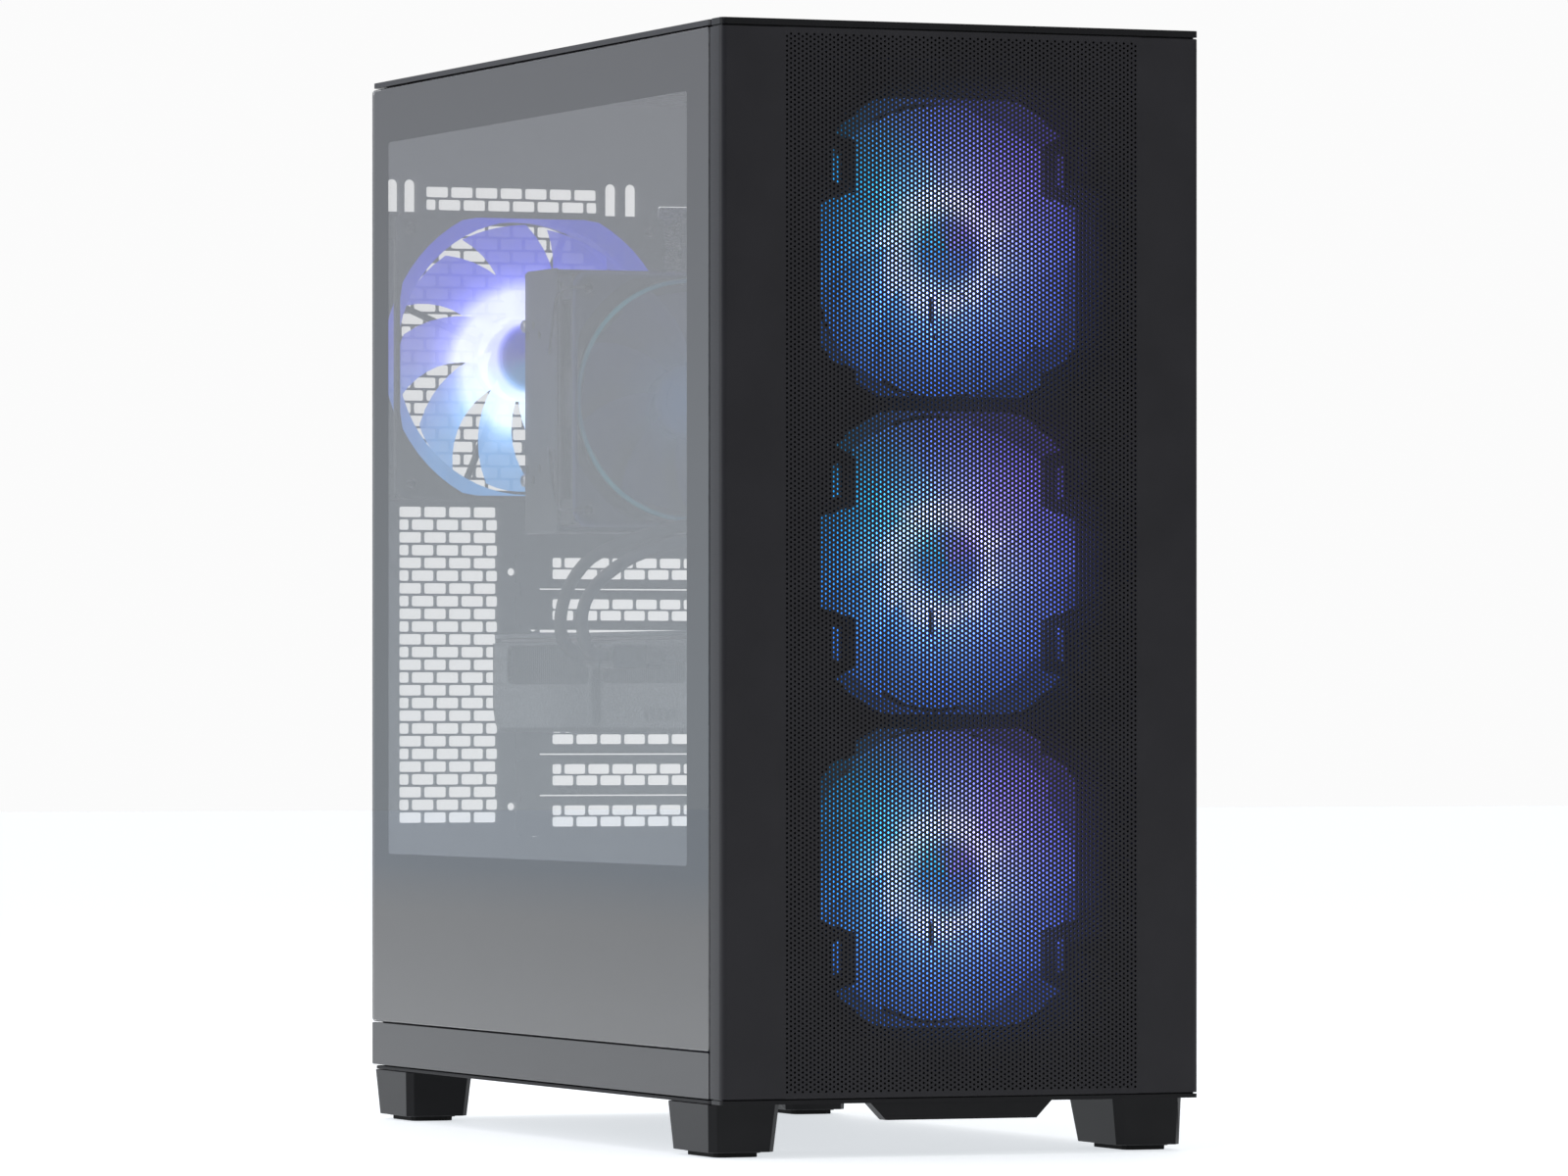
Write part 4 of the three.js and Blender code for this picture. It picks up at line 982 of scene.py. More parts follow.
def card_shell():
    """The casing, with windows in its sides. It hangs a little below its CAD solid, as the photo shows."""
    (x0, y0, cad_z0), (x1, y1, z1) = node_box("gpu_shroud")
    z0, wall = cad_z0 - CASING_DROP, CASING_WALL
    side = [(y0, z1), (y0, z0 + 9), (y0 + 9, z0), (y1 - 12, z0), (y1 - 3.5, z0 + 3.5), (y1, z0 + 12),
            (y1, z1)]
    windows = [rounded((POST[1] + 2.7, y1 - 20), (z0 + 23, z1 - 1.2), 5, 5),
               rounded((y0 + 14, POST[0] - 1.5), (z0 + 23, z1 - 11), 3, 4)]
    shape = Shape()
    for x in ((x0, x0 + wall), (x1 - wall, x1)):
        shape.sheet("x", side, windows, x)
    centres = [centre_of(f"gpu_fan_{n}")[:2] for n in (1, 2)]
    mouths = [disc(*centre, CARD_FAN_MOUTH, 72) for centre in centres]
    shape.sheet("z", [(x0, y0 + 9), (x1, y0 + 9), (x1, y1 - 12), (x0, y1 - 12)], mouths, (z0, z0 + wall))
    hub = (cad_z0 + 15, cad_z0 + 17)
    for centre in centres:
        shape.hoop("z", centre, [(47.2, z0), (48.6, z0 - 0.6), (50.2, z0 - 0.6), (50.2, z0 + 0.4),
                                 (48.8, z0 + 16), (47.2, z0 + 16)], 72)
        shape.rod("z", centre, 14, hub, 32, 0.4)
        shape.spokes("z", centre, (30, 150, 270), (12, 48.4), (-2, 2), hub, 0.4)
    for edge, inward, reach in ((y0, 1, 9), (y1, -1, 12)):
        shape.prism("x", [(edge, z0 + reach), (edge + inward * reach, z0), (edge + inward * reach, z0 + wall),
                          (edge + inward * wall, z0 + reach + 1)], (x0, x1))
        shape.box((x0, x1), (edge, edge + inward * wall), (z0 + reach, z1))
    shape.box((x0, x0 + 2.6), POST, (z0 + 3, z1), 0.5)
    for k in range(5):
        y = y0 + 24 + k * 9
        rib = [(y, z0 + 5), (y + 5, z0 + 5), (y + 9, z0 + 12), (y + 4, z0 + 12)]
        shape.prism("x", rib, (x0, x0 + 2.5), 0.3)
    piece("card_shell", shape, [satin], ["gpu_shroud"])
    facets = Shape()
    mid_x, mid_y = (x0 + x1) / 2, (centres[0][1] + centres[1][1]) / 2
    for s, edge in ((-1, x0 + 1), (1, x1 - 1)):
        wing = [(edge, mid_y - 30), (mid_x + s * 34, mid_y - 12), (mid_x + s * 6, mid_y),
                (mid_x + s * 34, mid_y + 12), (edge, mid_y + 30)]
        facets.prism("z", wing[::-s], (z0 - 0.8, z0 + 0.1), 0.3)
    piece("card_facets", facets, [anodised])
    for n in (1, 2):
        rotor(f"card_fan_blades_{n}", f"gpu_fan_{n}", "z", f"gpu_rotor_{n}", satin, 15, 11,
              20, 0.5)


def card_fins():
    """The fin stack over the card's fans, on five heat pipes."""
    (x0, y0, z0), (x1, y1, z1) = node_box("gpu_heatsink")
    fins = Shape()
    count = 96
    pitch = (y1 - y0 - 1) / count
    for k in range(count):
        y = y0 + 0.5 + k * pitch
        fins.box((x0, x1), (y, y + 0.5), (z0 + 0.3, z1 - 1.2))
    for x in range(-30, 43, 18):
        fins.tube([(x, y0 + 0.2, z1 - 7), (x, y1 - 0.2, z1 - 7)], 3, 14)
    fins.box((x0 + 14, x1 - 14), (y0 + 40, y1 - 40), (z1 - 3, z1), 0.4)
    piece("card_fins", fins, [fin_metal], ["gpu_heatsink"])


def card_board():
    """The card's board with its edge contacts, power sockets and slotted backplate."""
    (x0, y0, z0), (x1, y1, z1) = node_box("gpu_board")
    board = Shape()
    board.use(0).prism("z", rounded((x0 + 3, x1), (y0 + 3, y1 - 2), 2, 3), (z0, z0 + 1.6), 0.2)
    board.use(1).prism("z", rounded((x1 - 6, x1), (y1 - 90, y1 - 8), 0.6, 2), (z0 + 0.2, z0 + 1.4), 0.1)
    vents = [rounded((x, x + 4), (y0 + 14, y0 + 58), 1.9, 4) for x in range(-40, 56, 9)]
    board.use(2).sheet("z", rounded((x0, x1 - 4), (y0, y1), 3, 4), vents, (z0 + 1.9, z1 - 0.4))
    screws = [(x, y) for y in (y0 + 7, y1 - 8) for x in (x0 + 8, x1 - 12)]
    screws += [(x, y) for x in (-20, 36) for y in (96, 152)]
    for centre in screws:
        board.use(3).turned("z", centre, [(3, z1 - 0.7), (3, z1 - 0.2), (2.2, z1)], 20)
    for y in POWER_PLUG_Y:
        board.use(4).box((x0 + 0.4, x0 + 14), (y - 9.4, y + 9.4), (z0 - 13.6, z0 - 0.2), 0.5)
    piece("card_board", board, [board_mask, gold, anodised, screw_metal, plastic],
          ["gpu_board"])


def card_bracket():
    """The card's slot bracket, with four sockets over a row of vents."""
    (x0, y0, z0), (x1, y1, z1) = node_box("gpu_bracket")
    y0 = y1 - 1
    ports = [rounded((14 + 19 * k, 30 + 19 * k), (z1 - 14, z1 - 8.6), 1, 2) for k in range(3)]
    ports.append(rounded((-8, 8), (z1 - 14.2, z1 - 8.6), 1.2, 2))
    vents = [rounded((x, x + 2.6), (z0 + 4, z0 + 16.5), 1.2, 4) for x in np.arange(-24, 76, 4.6)]
    bracket = Shape().use(0).sheet("y", rounded((x0, x1), (z0, z1), 1.2, 3), [*ports, *vents], (y0, y1))
    bracket.box((30, 60), (220.4, y1 - 0.3), (232, 233.2), 0.2)
    for loop in ports:
        (u0, v0), (u1, v1) = np.min(loop, 0), np.max(loop, 0)
        bracket.use(1).box((u0 + 0.3, u1 - 0.3), (y0 - 5.6, y1 - 2.2), (v0 + 0.3, v1 - 0.3), 0.2)
        bracket.use(2).box((u0 + 2.5, u1 - 2.5), (y1 - 2.3, y1 - 0.5), (v0 + 2.2, v0 + 3.2), 0.2)
    piece("card_bracket", bracket, [nickel, socket_plastic, plastic], ["gpu_bracket"])


# ------------------------------------------------------------------ leads inside the case
def lead(name, node, route, width, plug):
    """A lead that its plug and the tray hold: a woven sleeve on a smooth route, and its ribbed plug."""
    shape = Shape().tube(curve(route, 5), width / 2, 16)
    piece(name, shape, [sleeve], [node])
    housing = Shape().box(*plug, 0.6)
    (px0, _), (py0, py1), (pz0, pz1) = plug
    for y in np.arange(py0 + 2.2, py1 - 1, 4.2):
        housing.box((px0, px0 + 1.2), (y, y + 0.5), (pz0 + 0.3, pz1 - 0.3))
    piece(f"{name}_plug", housing, [plastic])


def leads():
    """Two leads arch from the card to the tray, on the routes that the CAD source gives them, and one
    joins the board's edge to the tray. `lift`, `tuck` and `end` keep the two arches apart."""
    card_x = node_box("gpu_shroud")[0][0]
    for number, (y, lift, tuck, end) in enumerate(zip(POWER_PLUG_Y, (6, 0), (0, 3.5), (-36, -46)), 1):
        route = [(-70, y, 224.5), (-78, y, 225.5), (-86 + tuck, y - 1, 232), (-88 + tuck, y - 3, 244),
                 (-85 + tuck, y - 7, 255 + lift / 2), (-76 + tuck, y - 12, 265 + lift),
                 (-60, y - 19, 273 + lift), (-36, y - 28, 280 + lift), (-6, y - 40, 284 + lift),
                 (26, (y - 44 + end) / 2, 283 + lift), (58, end + 9, 278 + lift),
                 (76, end + 1, 275 + lift), (92, end, 275 + lift)]
        lead(f"card_lead_{number}", f"gpu_power_cable_{number}", route, 6,
             ((card_x - 17, card_x - 0.4), (y - 9, y + 9), (219, 230)))
    route = [(62, -14.5, 316), (52, -15, 316), (44, -20, 314), (44, -30, 308), (54, -38, 300),
             (72, -41, 294), (92, -41, 292)]
    lead("board_lead", "atx_power_cable", route, 11, ((58, 68.4), (-19.5, -9.5), (290, 342)))


# ------------------------------------------------------------------ motherboard
MEMORY_SLOT_Y = (50, 40.6, 31.2, 21.8)
MEMORY_SLOT_Z = (282, 418)
CARD_SOCKETS = ((234, 90), (193, 40), (152, 90))
POWER_SOCKET = {"y": (-19.5, -9.5), "z": (290, 342)}
COIL_STEP = 13.4
CAN_PLACES = [(140, 300 + 9 * k) for k in range(10)] + [(198, 250 + 11 * k) for k in range(3)] + \
             [(24 + 11 * k, 152) for k in range(5)]
SMALL_PARTS = ((1.6, 0.9), (2.4, 1.4), (3.4, 2.6), (5.5, 5.5), (1.0, 2.0))


def motherboard():
    """The board with its sockets, coils, round cans and a scatter of small parts."""
    (_, y0, z0), (x1, y1, z1) = node_box("motherboard")
    face = x1 - 1.6
    _, cpu_y, cpu_z = centre_of("cooler_base")
    shape = Shape()

    def on(height, y, z, cut=0.4):
        """A box that stands on the board's front."""
        shape.box((face - height, face + 0.1), y, z, cut)

    shape.use(0).prism("x", rounded((y0, y1), (z0, z1), 2, 3), (face, x1), 0.2)
    shape.use(1)
    on(5.5, (cpu_y - 26, cpu_y + 26), (cpu_z - 30, cpu_z + 30), 0.8)
    for y in MEMORY_SLOT_Y:
        on(6.6, (y, y + 1.7), MEMORY_SLOT_Z)
        on(6.6, (y + 5.3, y + 7), MEMORY_SLOT_Z)
        on(5.2, (y + 1.6, y + 5.4), (347, 350))
        for z, inward in zip(MEMORY_SLOT_Z, (1, -1)):
            on(9.5, (y + 0.8, y + 6.2), (z, z + inward * 7), 0.8)
    for z, long in CARD_SOCKETS:
        for dz in (-3.6, 1.6):
            on(9.6, (100, 100 + long), (z + dz, z + dz + 2))
        on(11, (96, 101), (z - 3.6, z + 3.6), 0.8)
    on(11, POWER_SOCKET["y"], POWER_SOCKET["z"], 0.6)
    on(10.5, (158, 177), (433.4, 443.4), 0.6)
    for k in range(3):
        on(11, (-20.5, -8.5), (176 + 17 * k, 191 + 17 * k), 0.6)
    for k in range(6):
        on(9, (10 + 30 * k, 28 + 30 * k), (140.5, 146), 0.4)
    shape.use(2)
    for k in range(9):
        on(7, (150.5, 157.5), (301 + COIL_STEP * k, 308 + COIL_STEP * k), 0.9)
    for k in range(5):
        on(7, (90 + COIL_STEP * k, 97 + COIL_STEP * k), (403, 410), 0.9)
    shape.use(3)
    for centre in CAN_PLACES:
        shape.turned("x", centre, [(3.1, face), (3.1, face - 7), (2.7, face - 7.6)], 18)
    shape.use(1)
    for _ in range(150):
        y, z = rng.uniform(y0 + 8, y1 - 34), rng.uniform(z0 + 8, z1 - 14)
        w, h = rng.choice(SMALL_PARTS)
        on(0.5 + 0.12 * w, (y, y + w), (z, z + h), 0.1)
    piece("main_board", shape, [socket_plastic, plastic, anodised, fin_metal],
          ["motherboard"])


def board_heatsinks():
    """Grooved heatsinks round the processor's regulators, and a plate over the drive."""
    low, high = node_box("vrm_heatsink")
    sink = Shape()
    for k in range(16):
        z = 296.5 + k * 7.6
        sink.box((low[0], high[0] - 6), (166.5, 185.5), (z, z + 4.6), 0.7)
    sink.box((high[0] - 8, high[0]), (166, 186), (295, 431), 0.6)
    sink.box((low[0] + 2, high[0] - 7), (171, 181), (296, 430), 0.6)
    for k in range(8):
        y = 85 + k * 10
        sink.box((low[0], high[0] - 6), (y, y + 6.4), (416.5, 430.5), 0.7)
    sink.box((high[0] - 8, high[0]), (84, 167), (416, 431), 0.6)
    piece("regulator_heatsink", sink, [anodised], ["vrm_heatsink"])
    (x0, y0, z0), (x1, y1, z1) = node_box("m2_heatsink")
    plate = Shape().box((x0 + 2, x1), (y0, y1), (z0, z1), 0.6)
    for k in range(5):
        z = z0 + 2 + k * 4.2
        plate.box((x0, x0 + 2.4), (y0 + 6, y1 - 10), (z, z + 2.4), 0.5)
    plate.turned("x", (y1 - 4, (z0 + z1) / 2), [(3, x0 + 2.2), (3, x0 + 1.2), (2, x0 + 0.8)], 20)
    piece("drive_heatsink", plate, [anodised], ["m2_heatsink"])


def memory():
    """Two memory modules: a board with gold contacts between two spreaders with a ribbed crest."""
    for number in (1, 2):
        (x0, y0, z0), (x1, y1, z1) = node_box(f"ram_module_{number}")
        mid = (y0 + y1) / 2
        ram = Shape().use(0).box((x0 + 4, x1), (mid - 0.6, mid + 0.6), (z0 + 0.3, z1 - 0.3), 0.1)
        spreader = [(x0 + 5, z0 + 1.5), (x0 + 2, z0 + 12), (x0 + 2, z1 - 12), (x0 + 5, z1 - 1.5),
                    (x1 - 5, z1 - 1.5), (x1 - 5, z0 + 1.5)]
        for y in ((y0, mid - 0.8), (mid + 0.8, y1)):
            ram.use(1).prism("y", spreader, y, 0.3)
        for k in range(9):
            z = z0 + 12 + k * 12.6
            ram.use(1).box((x0, x0 + 3), (y0 + 0.4, y1 - 0.4), (z, z + 8.4), 0.6)
        ram.use(2).box((x1 - 0.8, x1 - 0.05), (mid - 0.7, mid + 0.7), (z0 + 3, z1 - 3))
        piece(f"memory_{number}", ram, [socket_plastic, anodised, gold],
              [f"ram_module_{number}"])


SOCKET_ROWS = ((300, 312), (318, 330), (336, 350), (356, 372), (378, 392), (398, 412))
SOCKET_X = (48, 76)
AERIAL = (64, 427)


def rear_sockets():
    """Six rows of paired sockets and a round one, in a plated cover."""
    (x0, y0, z0), (x1, y1, z1) = node_box("rear_io_block")
    holes = [rounded(SOCKET_X, row, 0.8, 2) for row in SOCKET_ROWS] + [rounded((56, 72), (419, 435), 0.8, 2)]
    shape = Shape().use(0).sheet("y", rounded((x0, x1), (z0, z1), 1.5, 3), holes, (y1 - 1.4, y1))
    shape.use(3).box((41, x1 - 0.1), (y0, y1 - 18), (296, 441), 1.2)
    for k in range(12):
        shape.box((40, 42), (y0 + 3, y1 - 20), (300 + 11.6 * k, 306 + 11.6 * k), 0.5)
    depth = (y1 - 17, y1 - 0.6)
    for row in SOCKET_ROWS:
        low, high = row
        mid = (low + high) / 2
        for left, right in ((SOCKET_X[0], 61.6), (62.4, SOCKET_X[1])):
            shape.use(0)
            for z in ((low, low + 0.5), (high - 0.5, high)):
                shape.box((left, right), depth, z)
            for x in ((left, left + 0.5), (right - 0.5, right)):
                shape.box(x, depth, row)
            shape.use(1).box((left + 2, right - 2), (y1 - 15, y1 - 2), (mid - 0.3, mid + 1.7), 0.3)
            shape.use(2).box((left + 3, right - 3), (y1 - 14, y1 - 2.6), (mid - 0.5, mid - 0.25))
    shape.use(1).ring("y", AERIAL, 4.4, 7.4, (y1 - 14, y1 - 1.4), 32, 0.4)
    shape.use(0).rod("y", AERIAL, 0.5, (y1 - 14, y1 - 2.5), 10, 0.1)
    shape.box((47, 77), (y1 - 18, y1 - 17), (298, 437))
    piece("rear_sockets", shape, [nickel, plastic, gold, socket_plastic], ["rear_io_block"])


# ------------------------------------------------------------------ power supply
INLET = {"x": (50, 80), "z": (42, 64), "lip": 2.5}
ROCKER_HOLE = ((58, 72), (72.4, 95.6))
SUPPLY_WALL = 1.5
LEAD_SOCKETS = [(column, rise) for column in range(5) for rise in (44, 62)]
COMB = {"pitch": 7.2, "hole": 3.5, "rows": 12, "columns": 14}


def inlet_mouth(segments):
    """The outline of the mains inlet's mouth."""
    (x0, x1), (z0, z1), lip = INLET["x"], INLET["z"], INLET["lip"]
    return rounded((x0 + lip, x1 - lip), (z0 + lip, z1 - lip), lip, segments)


def supply_box():
    """The supply's steel box, with a honeycomb at the rear and rows of lead sockets inside the case."""
    (x0, y0, z0), (x1, y1, z1) = node_box("psu_case")
    fan_x, fan_y, _ = centre_of("psu_fan_rotor")
    wall, pitch = SUPPLY_WALL, COMB["pitch"]
    comb = []
    for row in range(COMB["rows"]):
        for column in range(COMB["columns"]):
            u = x0 + 9 + column * pitch + (pitch / 2 if row % 2 else 0)
            v = z0 + 7 + row * pitch * 0.866
            if u < 46 and v < z1 - 6:
                comb.append(disc(u, v, COMB["hole"], 6, math.pi / 6))
    shape = Shape()
    rear = [inlet_mouth(4), rounded(*ROCKER_HOLE, 0.8, 2), *comb]
    shape.sheet("y", rounded((x0, x1), (z0, z1), 1, 2), rear, (y1 - wall, y1))
    shape.sheet("z", [(x0, y0), (x1, y0), (x1, y1 - wall), (x0, y1 - wall)], [disc(fan_x, fan_y, 60, 80)],
                (z0, z0 + wall))
    shape.box((x0, x1), (y0, y1 - wall), (z1 - wall, z1), 0.3)
    for x in ((x0, x0 + wall), (x1 - wall, x1)):
        shape.box(x, (y0, y1 - wall), (z0 + wall, z1 - wall))
    sockets = [rounded((x0 + 12 + 24 * k, x0 + 30 + 24 * k), (z0 + rise, z0 + rise + 10), 1, 2)
               for k, rise in LEAD_SOCKETS]
    shape.sheet("y", [(x0 + wall, z0 + wall), (x1 - wall, z0 + wall), (x1 - wall, z1 - wall),
                      (x0 + wall, z1 - wall)], sockets, (y0, y0 + wall))
    piece("supply_box", shape, [powder], ["psu_case"])


def supply_guard():
    """The wire guard under the supply's fan, and the cross that carries the fan."""
    z0 = node_box("psu_case")[0][2]
    fan_x, fan_y, _ = centre_of("psu_fan_rotor")
    grille = Shape()
    for radius in range(12, 60, 6):
        grille.hoop("z", (fan_x, fan_y), [(radius + 0.8 * math.cos(t), z0 + 1.4 + 0.8 * math.sin(t))
                                          for t in steps(8)], 72)
    grille.spokes("z", (fan_x, fan_y), range(45, 360, 90), (8, 61), (-1, 1), (z0 + 1.5, z0 + 3.0), 0.3)
    for x, y in ((fan_x - 60, fan_y), (fan_x + 60, fan_y), (fan_x, fan_y - 60), (fan_x, fan_y + 60)):
        grille.box((x - 2, x + 2), (y - 2, y + 2), (z0 + 1, z0 + 21), 0.4)
    for u, v in ((2, 62), (62, 2)):
        grille.box((fan_x - u, fan_x + u), (fan_y - v, fan_y + v), (z0 + 19, z0 + 21), 0.3)
    piece("supply_grille", grille, [screw_metal])


def supply_sockets():
    """The mains inlet with its three pins, and the lead sockets' insides."""
    (x0, y0, z0), (_, y1, _) = node_box("psu_case")
    inside = Shape()
    inside.use(0).sheet("y", rounded(INLET["x"], INLET["z"], 1, 3), [inlet_mouth(3)], (y1 - 18, y1 - 0.2))
    inside.box(INLET["x"], (y1 - 20, y1 - 18), INLET["z"], 0.4)
    for x in (58, 65, 72):
        inside.use(1).box((x - 1, x + 1), (y1 - 16, y1 - 2), (51, 55), 0.3)
    inside.use(0)
    for k, rise in LEAD_SOCKETS:
        for j in range(4):
            u = x0 + 13.4 + 24 * k + 4.2 * j
            inside.box((u, u + 2.8), (y0 + 0.4, y0 + 7), (z0 + rise + 1, z0 + rise + 9), 0.3)
    piece("supply_sockets", inside, [socket_plastic, nickel])


def supply_fan():
    """The supply's fan, over its opening in the floor."""
    rotor("supply_fan_blades", "psu_fan_rotor", "z", "supply_rotor", satin, 22, 9, 26, 0.4)


# ------------------------------------------------------------------ roof, filter and controls
def roof_filter():
    """The net in the roof's opening, with a soft rim."""
    low, high = node_box("top_filter")
    edge = 5
    net = [(low[a] + edge, high[a] - edge) for a in (0, 1)]
    bands = perforated("z", *net, (low[2] + 0.25, high[2] - 0.2), 3.4, 1.05, 2, -1)
    for number, shape in enumerate(bands, 1):
        piece(f"roof_filter_net_{number}", shape, [plastic], body="roof_filter")
    rim = Shape().sheet("z", rounded((low[0], high[0]), (low[1], high[1]), 3, 5), [rounded(*net, 0.5, 2)],
                        (low[2], high[2]))
    piece("roof_filter_rim", rim, [rubber], ["top_filter"], "roof_filter", soften=0.2)


FRONT_SOCKET_Y = -195


def controls():
    """Three round keys, with a plated ring on the power key."""
    for key_name in ("power", "led_mode", "led_colour"):
        name, body = f"{key_name}_button", f"{key_name}_key"
        low, high = node_box(name)
        middle, r, top = centre_of(name)[:2], (high[0] - low[0]) / 2, high[2]
        key = Shape().turned("z", middle, [(r, low[2]), (r, top - 0.7), (r - 0.3, top - 0.15),
                                           (r - 0.9, top), (r * 0.6, top - 0.25), (0.3, top - 0.4)], 48)
        piece(f"{name}_cap", key, [satin], [name], body)
        if key_name == "power":
            mark = Shape().ring("z", middle, r * 0.42, r * 0.5, (top - 0.5, top - 0.12), 48, 0.05)
            piece("power_ring", mark, [nickel], body=body)


def front_sockets():
    """Two flat sockets, a small one and a round one beside the power key."""
    top = node_box("front_io_module")[1][2]
    y = FRONT_SOCKET_Y
    shell = (top - 7, top + 0.1)
    shape = Shape()
    for x in (48, 68):
        shape.use(0)
        for side in ((-3.4, -2.9), (2.9, 3.4)):
            shape.box((x - 7, x + 7), (y + side[0], y + side[1]), shell, 0.1)
        for end in ((-7, -6.5), (6.5, 7)):
            shape.box((x + end[0], x + end[1]), (y - 3.4, y + 3.4), shell, 0.1)
        shape.use(1).box((x - 5.9, x + 5.9), (y - 0.2, y + 1.9), (493, top - 0.8), 0.2)
        for k in range(4):
            shape.use(2).box((x - 4.2 + 2.4 * k, x - 3.2 + 2.4 * k), (y - 0.4, y - 0.15), (493, top - 1.5))
    shape.use(1).box((29.7, 36.3), (y - 0.35, y + 0.35), (494, top - 0.8), 0.15)
    shape.use(0).ring("z", (82, y), 1.8, 3.0, (top - 4, top + 0.1), 32, 0.2)
    piece("front_sockets", shape, [nickel, socket_plastic, gold])


def thumbscrews():
    """Two knurled screws with a threaded shank and a crossed recess."""
    for end in ("upper", "lower"):
        name = f"thumbscrew_{end}"
        low, high = node_box(name)
        x, _, z = centre_of(name)
        head = high[1] - 4.8
        outline = [(x + (5 - 0.35 * (k % 2)) * math.cos(t), z + (5 - 0.35 * (k % 2)) * math.sin(t))
                   for k, t in enumerate(steps(56))]
        shape = Shape().use(0).prism("y", outline, (head, high[1]), 0.5)
        shape.turned("y", (x, z), [(3.4, head - 0.1), (2.6, high[1] - 6), (2, high[1] - 6.4)], 24)
        shape.rod("y", (x, z), 1.6, (low[1], head), 16, 0.4)
        for k in range(5):
            shape.ring("y", (x, z), 1.3, 1.9, (low[1] + 0.7 + 0.8 * k, low[1] + 1.1 + 0.8 * k), 16)
        shape.use(1)
        for u, v in ((3.2, 0.45), (0.45, 3.2)):
            shape.box((x - u, x + u), (high[1] - 0.7, high[1]), (z - v, z + v))
        piece(f"{name}_knob", shape, [screw_metal, socket_plastic], [name],
              f"{end}_thumbscrew")


def supply_filter():
    """The net under the power supply, in a rim with a ribbed pull at the rear."""
    (x0, y0, z0), (x1, y1, z1) = node_box("psu_filter")
    inside = ((x0 + 6, x1 - 6), (y0 + 6, y1 - 10))
    net = perforated("z", *inside, (z0 + 0.8, z0 + 1.5), 3.6, 1.2, 1, -1)
    piece("supply_filter_net", net[0], [plastic], body="supply_filter")
    rim = Shape().sheet("z", rounded((x0, x1), (y0, y1), 2, 4), [rounded(*inside, 0.5, 2)], (z0, z1))
    for k in range(6):
        rim.box((4, 24), (y1 - 8 + 1.3 * k, y1 - 7.5 + 1.3 * k), (z0, z0 + 0.3))
    piece("supply_filter_rim", rim, [plastic], ["psu_filter"], "supply_filter", soften=0.2)


def case_screws():
    """Screws in the rear wall that hold the fan, the supply and the roof."""
    rear = node_box("rear_panel")[1][1]
    fan_x, _, fan_z = centre_of("rear_fan_frame")
    heads = Shape()
    for centres, radius in ((crosswise((fan_x, fan_z), CASE_FAN_HOLES / 2), 3.6),
                            ([(x, z) for x in (-54, 84) for z in (33, 107)], 3.0),
                            ([(x, 490) for x in (-100, 0, 96)], 2.8)):
        for centre in centres:
            screw(heads, centre, rear + 1.8, radius)
    piece("rear_screws", heads, [screw_metal, socket_plastic])


FEET = ("front_left", "front_right", "rear_left", "rear_right")


def foot_trims():
    """A lip round each foot's soft pad."""
    for foot in FEET:
        sole = node_box(f"foot_{foot}")[0][2]
        (x0, y0, _), (x1, y1, _) = node_box(f"foot_pad_{foot}")
        outer = rounded((x0 - 1, x1 + 1), (y0 - 1, y1 + 1), 4, 5)
        inner = rounded((x0 + 0.6, x1 - 0.6), (y0 + 0.6, y1 - 0.6), 3, 5)
        trim = Shape().sheet("z", outer, [inner], (sole - 0.5, sole + 0.2))
        piece(f"foot_trim_{foot}", trim, [plastic])


for build in (front_cover, front_clips, glass_side, case_fans, rear_wall, slot_plates, cooler_fins,
              cooler_pipes, cooler_mount, cooler_clips, cooler_fan, card_shell, card_fins, card_board,
              card_bracket, leads, motherboard, board_heatsinks, memory, rear_sockets, supply_box,
              supply_guard, supply_sockets, supply_fan, roof_filter, controls, front_sockets, thumbscrews,
              supply_filter, case_screws, foot_trims):
    build()


# The CAD nodes that show as they are, by their material.
COATS = {
    inner_steel: ["base_plate", "motherboard_tray", "front_chassis_frame", "top_chassis_frame", "psu_shroud"],
    powder: ["side_panel_right", "top_panel"],
    sill_satin: ["side_sill"],
    plastic: ["front_panel_frame", "front_io_module", "psu_rocker", *(f"foot_{foot}" for foot in FEET)],
    rubber: [f"foot_pad_{foot}" for foot in FEET],
    socket_plastic: ["psu_board"],
}
for coat, nodes in COATS.items():
    for node in nodes:
        dress(node, coat)


# ------------------------------------------------------------------ camera, light and floor
def camera():
    """The photo's camera: level, from the front left, with a long lens and a small upward shift."""
    data = bpy.data.cameras.new("camera")
    obj = new_object("camera", data)
    obj.location = (-1.608, -4.0235, 0.1966)
    obj.rotation_euler = (math.radians(90), 0, -0.382)
    data.sensor_width, data.lens, data.shift_y = 36, 211.3, 0.0816
    data.clip_end = 60
    bpy.context.scene.camera = obj


def area_light(name, place, target, size, power):
    """A white rectangular light at a place, turned to its target."""
    data = bpy.data.lights.new(name, "AREA")
    data.shape, data.size, data.size_y = "RECTANGLE", *size
    data.energy = power
    obj = new_object(name, data)
    obj.location = place
    obj.rotation_euler = (Vector(target) - Vector(place)).to_track_quat("-Z", "Y").to_euler()


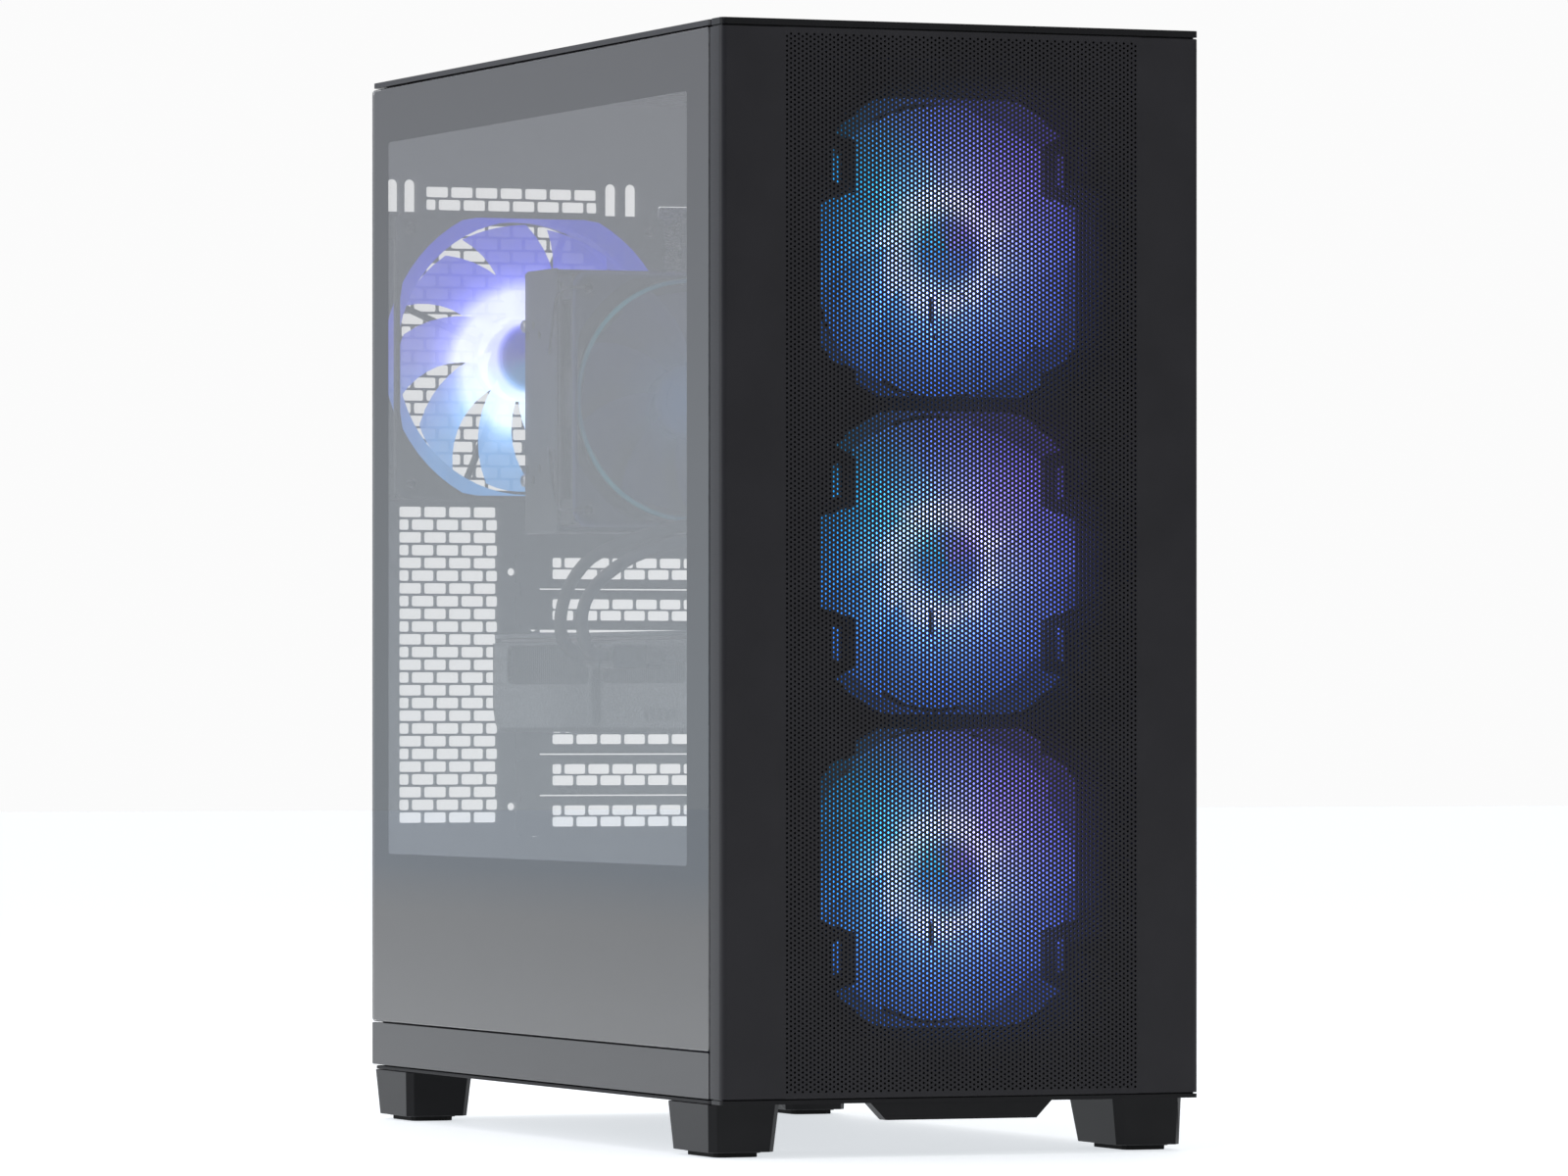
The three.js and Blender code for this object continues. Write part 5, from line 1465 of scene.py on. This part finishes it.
def studio():
    """A bright white surround behind and to the left, a darker room in front and to the right."""
    world = bpy.data.worlds.new("studio")
    world.use_nodes = True
    tree = world.node_tree
    x, y, z = axes(tree, "Generated")
    side = maths(tree, "MULTIPLY_ADD", x, -0.25, 0.5)
    facing = maths(tree, "MULTIPLY_ADD", y, 0.4, side)
    room = ramp(tree, facing, [(0.30, 0.085), (0.64, 1.0)])
    rise = ramp(tree, z, [(0.0, (0.84, 0.92, 1.0, 1)), (0.09, (0.70, 0.715, 0.77, 1))])
    behind = ramp(tree, x, [(0.0, 0.0), (0.2, 1.0)])
    cool = mix(tree, "MIX", rise.outputs["Color"], (1, 1, 1, 1), behind.outputs["Color"])
    sweep = ramp(tree, side, [(0.582, 0.93), (0.592, 1.04)])
    lit = mix(tree, "MULTIPLY", mix(tree, "MULTIPLY", room.outputs["Color"], cool), sweep.outputs["Color"])
    surround = tree.nodes["Background"]
    link(tree, lit, surround.inputs["Color"])
    surround.inputs["Strength"].default_value = 1.04
    bpy.context.scene.world = world
    area_light("key", (1.6, -3.2, 2.4), (0, 0, 0.25), (2.2, 1.6), 34)
    area_light("top", (-0.2, -0.2, 2.6), (0, 0, 0.4), (2.4, 2.4), 30)
    area_light("left", (-3.0, 0.4, 1.2), (0, 0, 0.25), (1.6, 2.2), 20)


def floor():
    """A plain pale floor. Only the glass sees its left part, which is a little bluer."""
    paint = finish("floor_paint", (0.50, 0.50, 0.50, 1), (0.52, 0.52, 0.52, 1), (0.6, 0.7), 60, 0.00005)
    tree, shader = paint.node_tree, paint.node_tree.nodes["Principled BSDF"]
    away = maths(tree, "MULTIPLY_ADD", axes(tree)[0], -1.0, -1.7)
    tone = ramp(tree, away, [(0.0, (0.92, 0.96, 1, 1)), (1.0, (0.72, 0.84, 0.97, 1))])
    link(tree, tone.outputs["Color"], shader.inputs["Emission Color"])
    shader.inputs["Emission Strength"].default_value = 0.72
    mesh = bpy.data.meshes.new("floor")
    reach = 14
    mesh.from_pydata([(-reach, -reach, 0), (reach, -reach, 0), (reach, reach, 0), (-reach, reach, 0)], [],
                     [(0, 1, 2, 3)])
    mesh.materials.append(paint)
    obj = new_object("floor", mesh)


camera()
studio()
floor()
bpy.context.scene.view_settings.view_transform = "Standard"
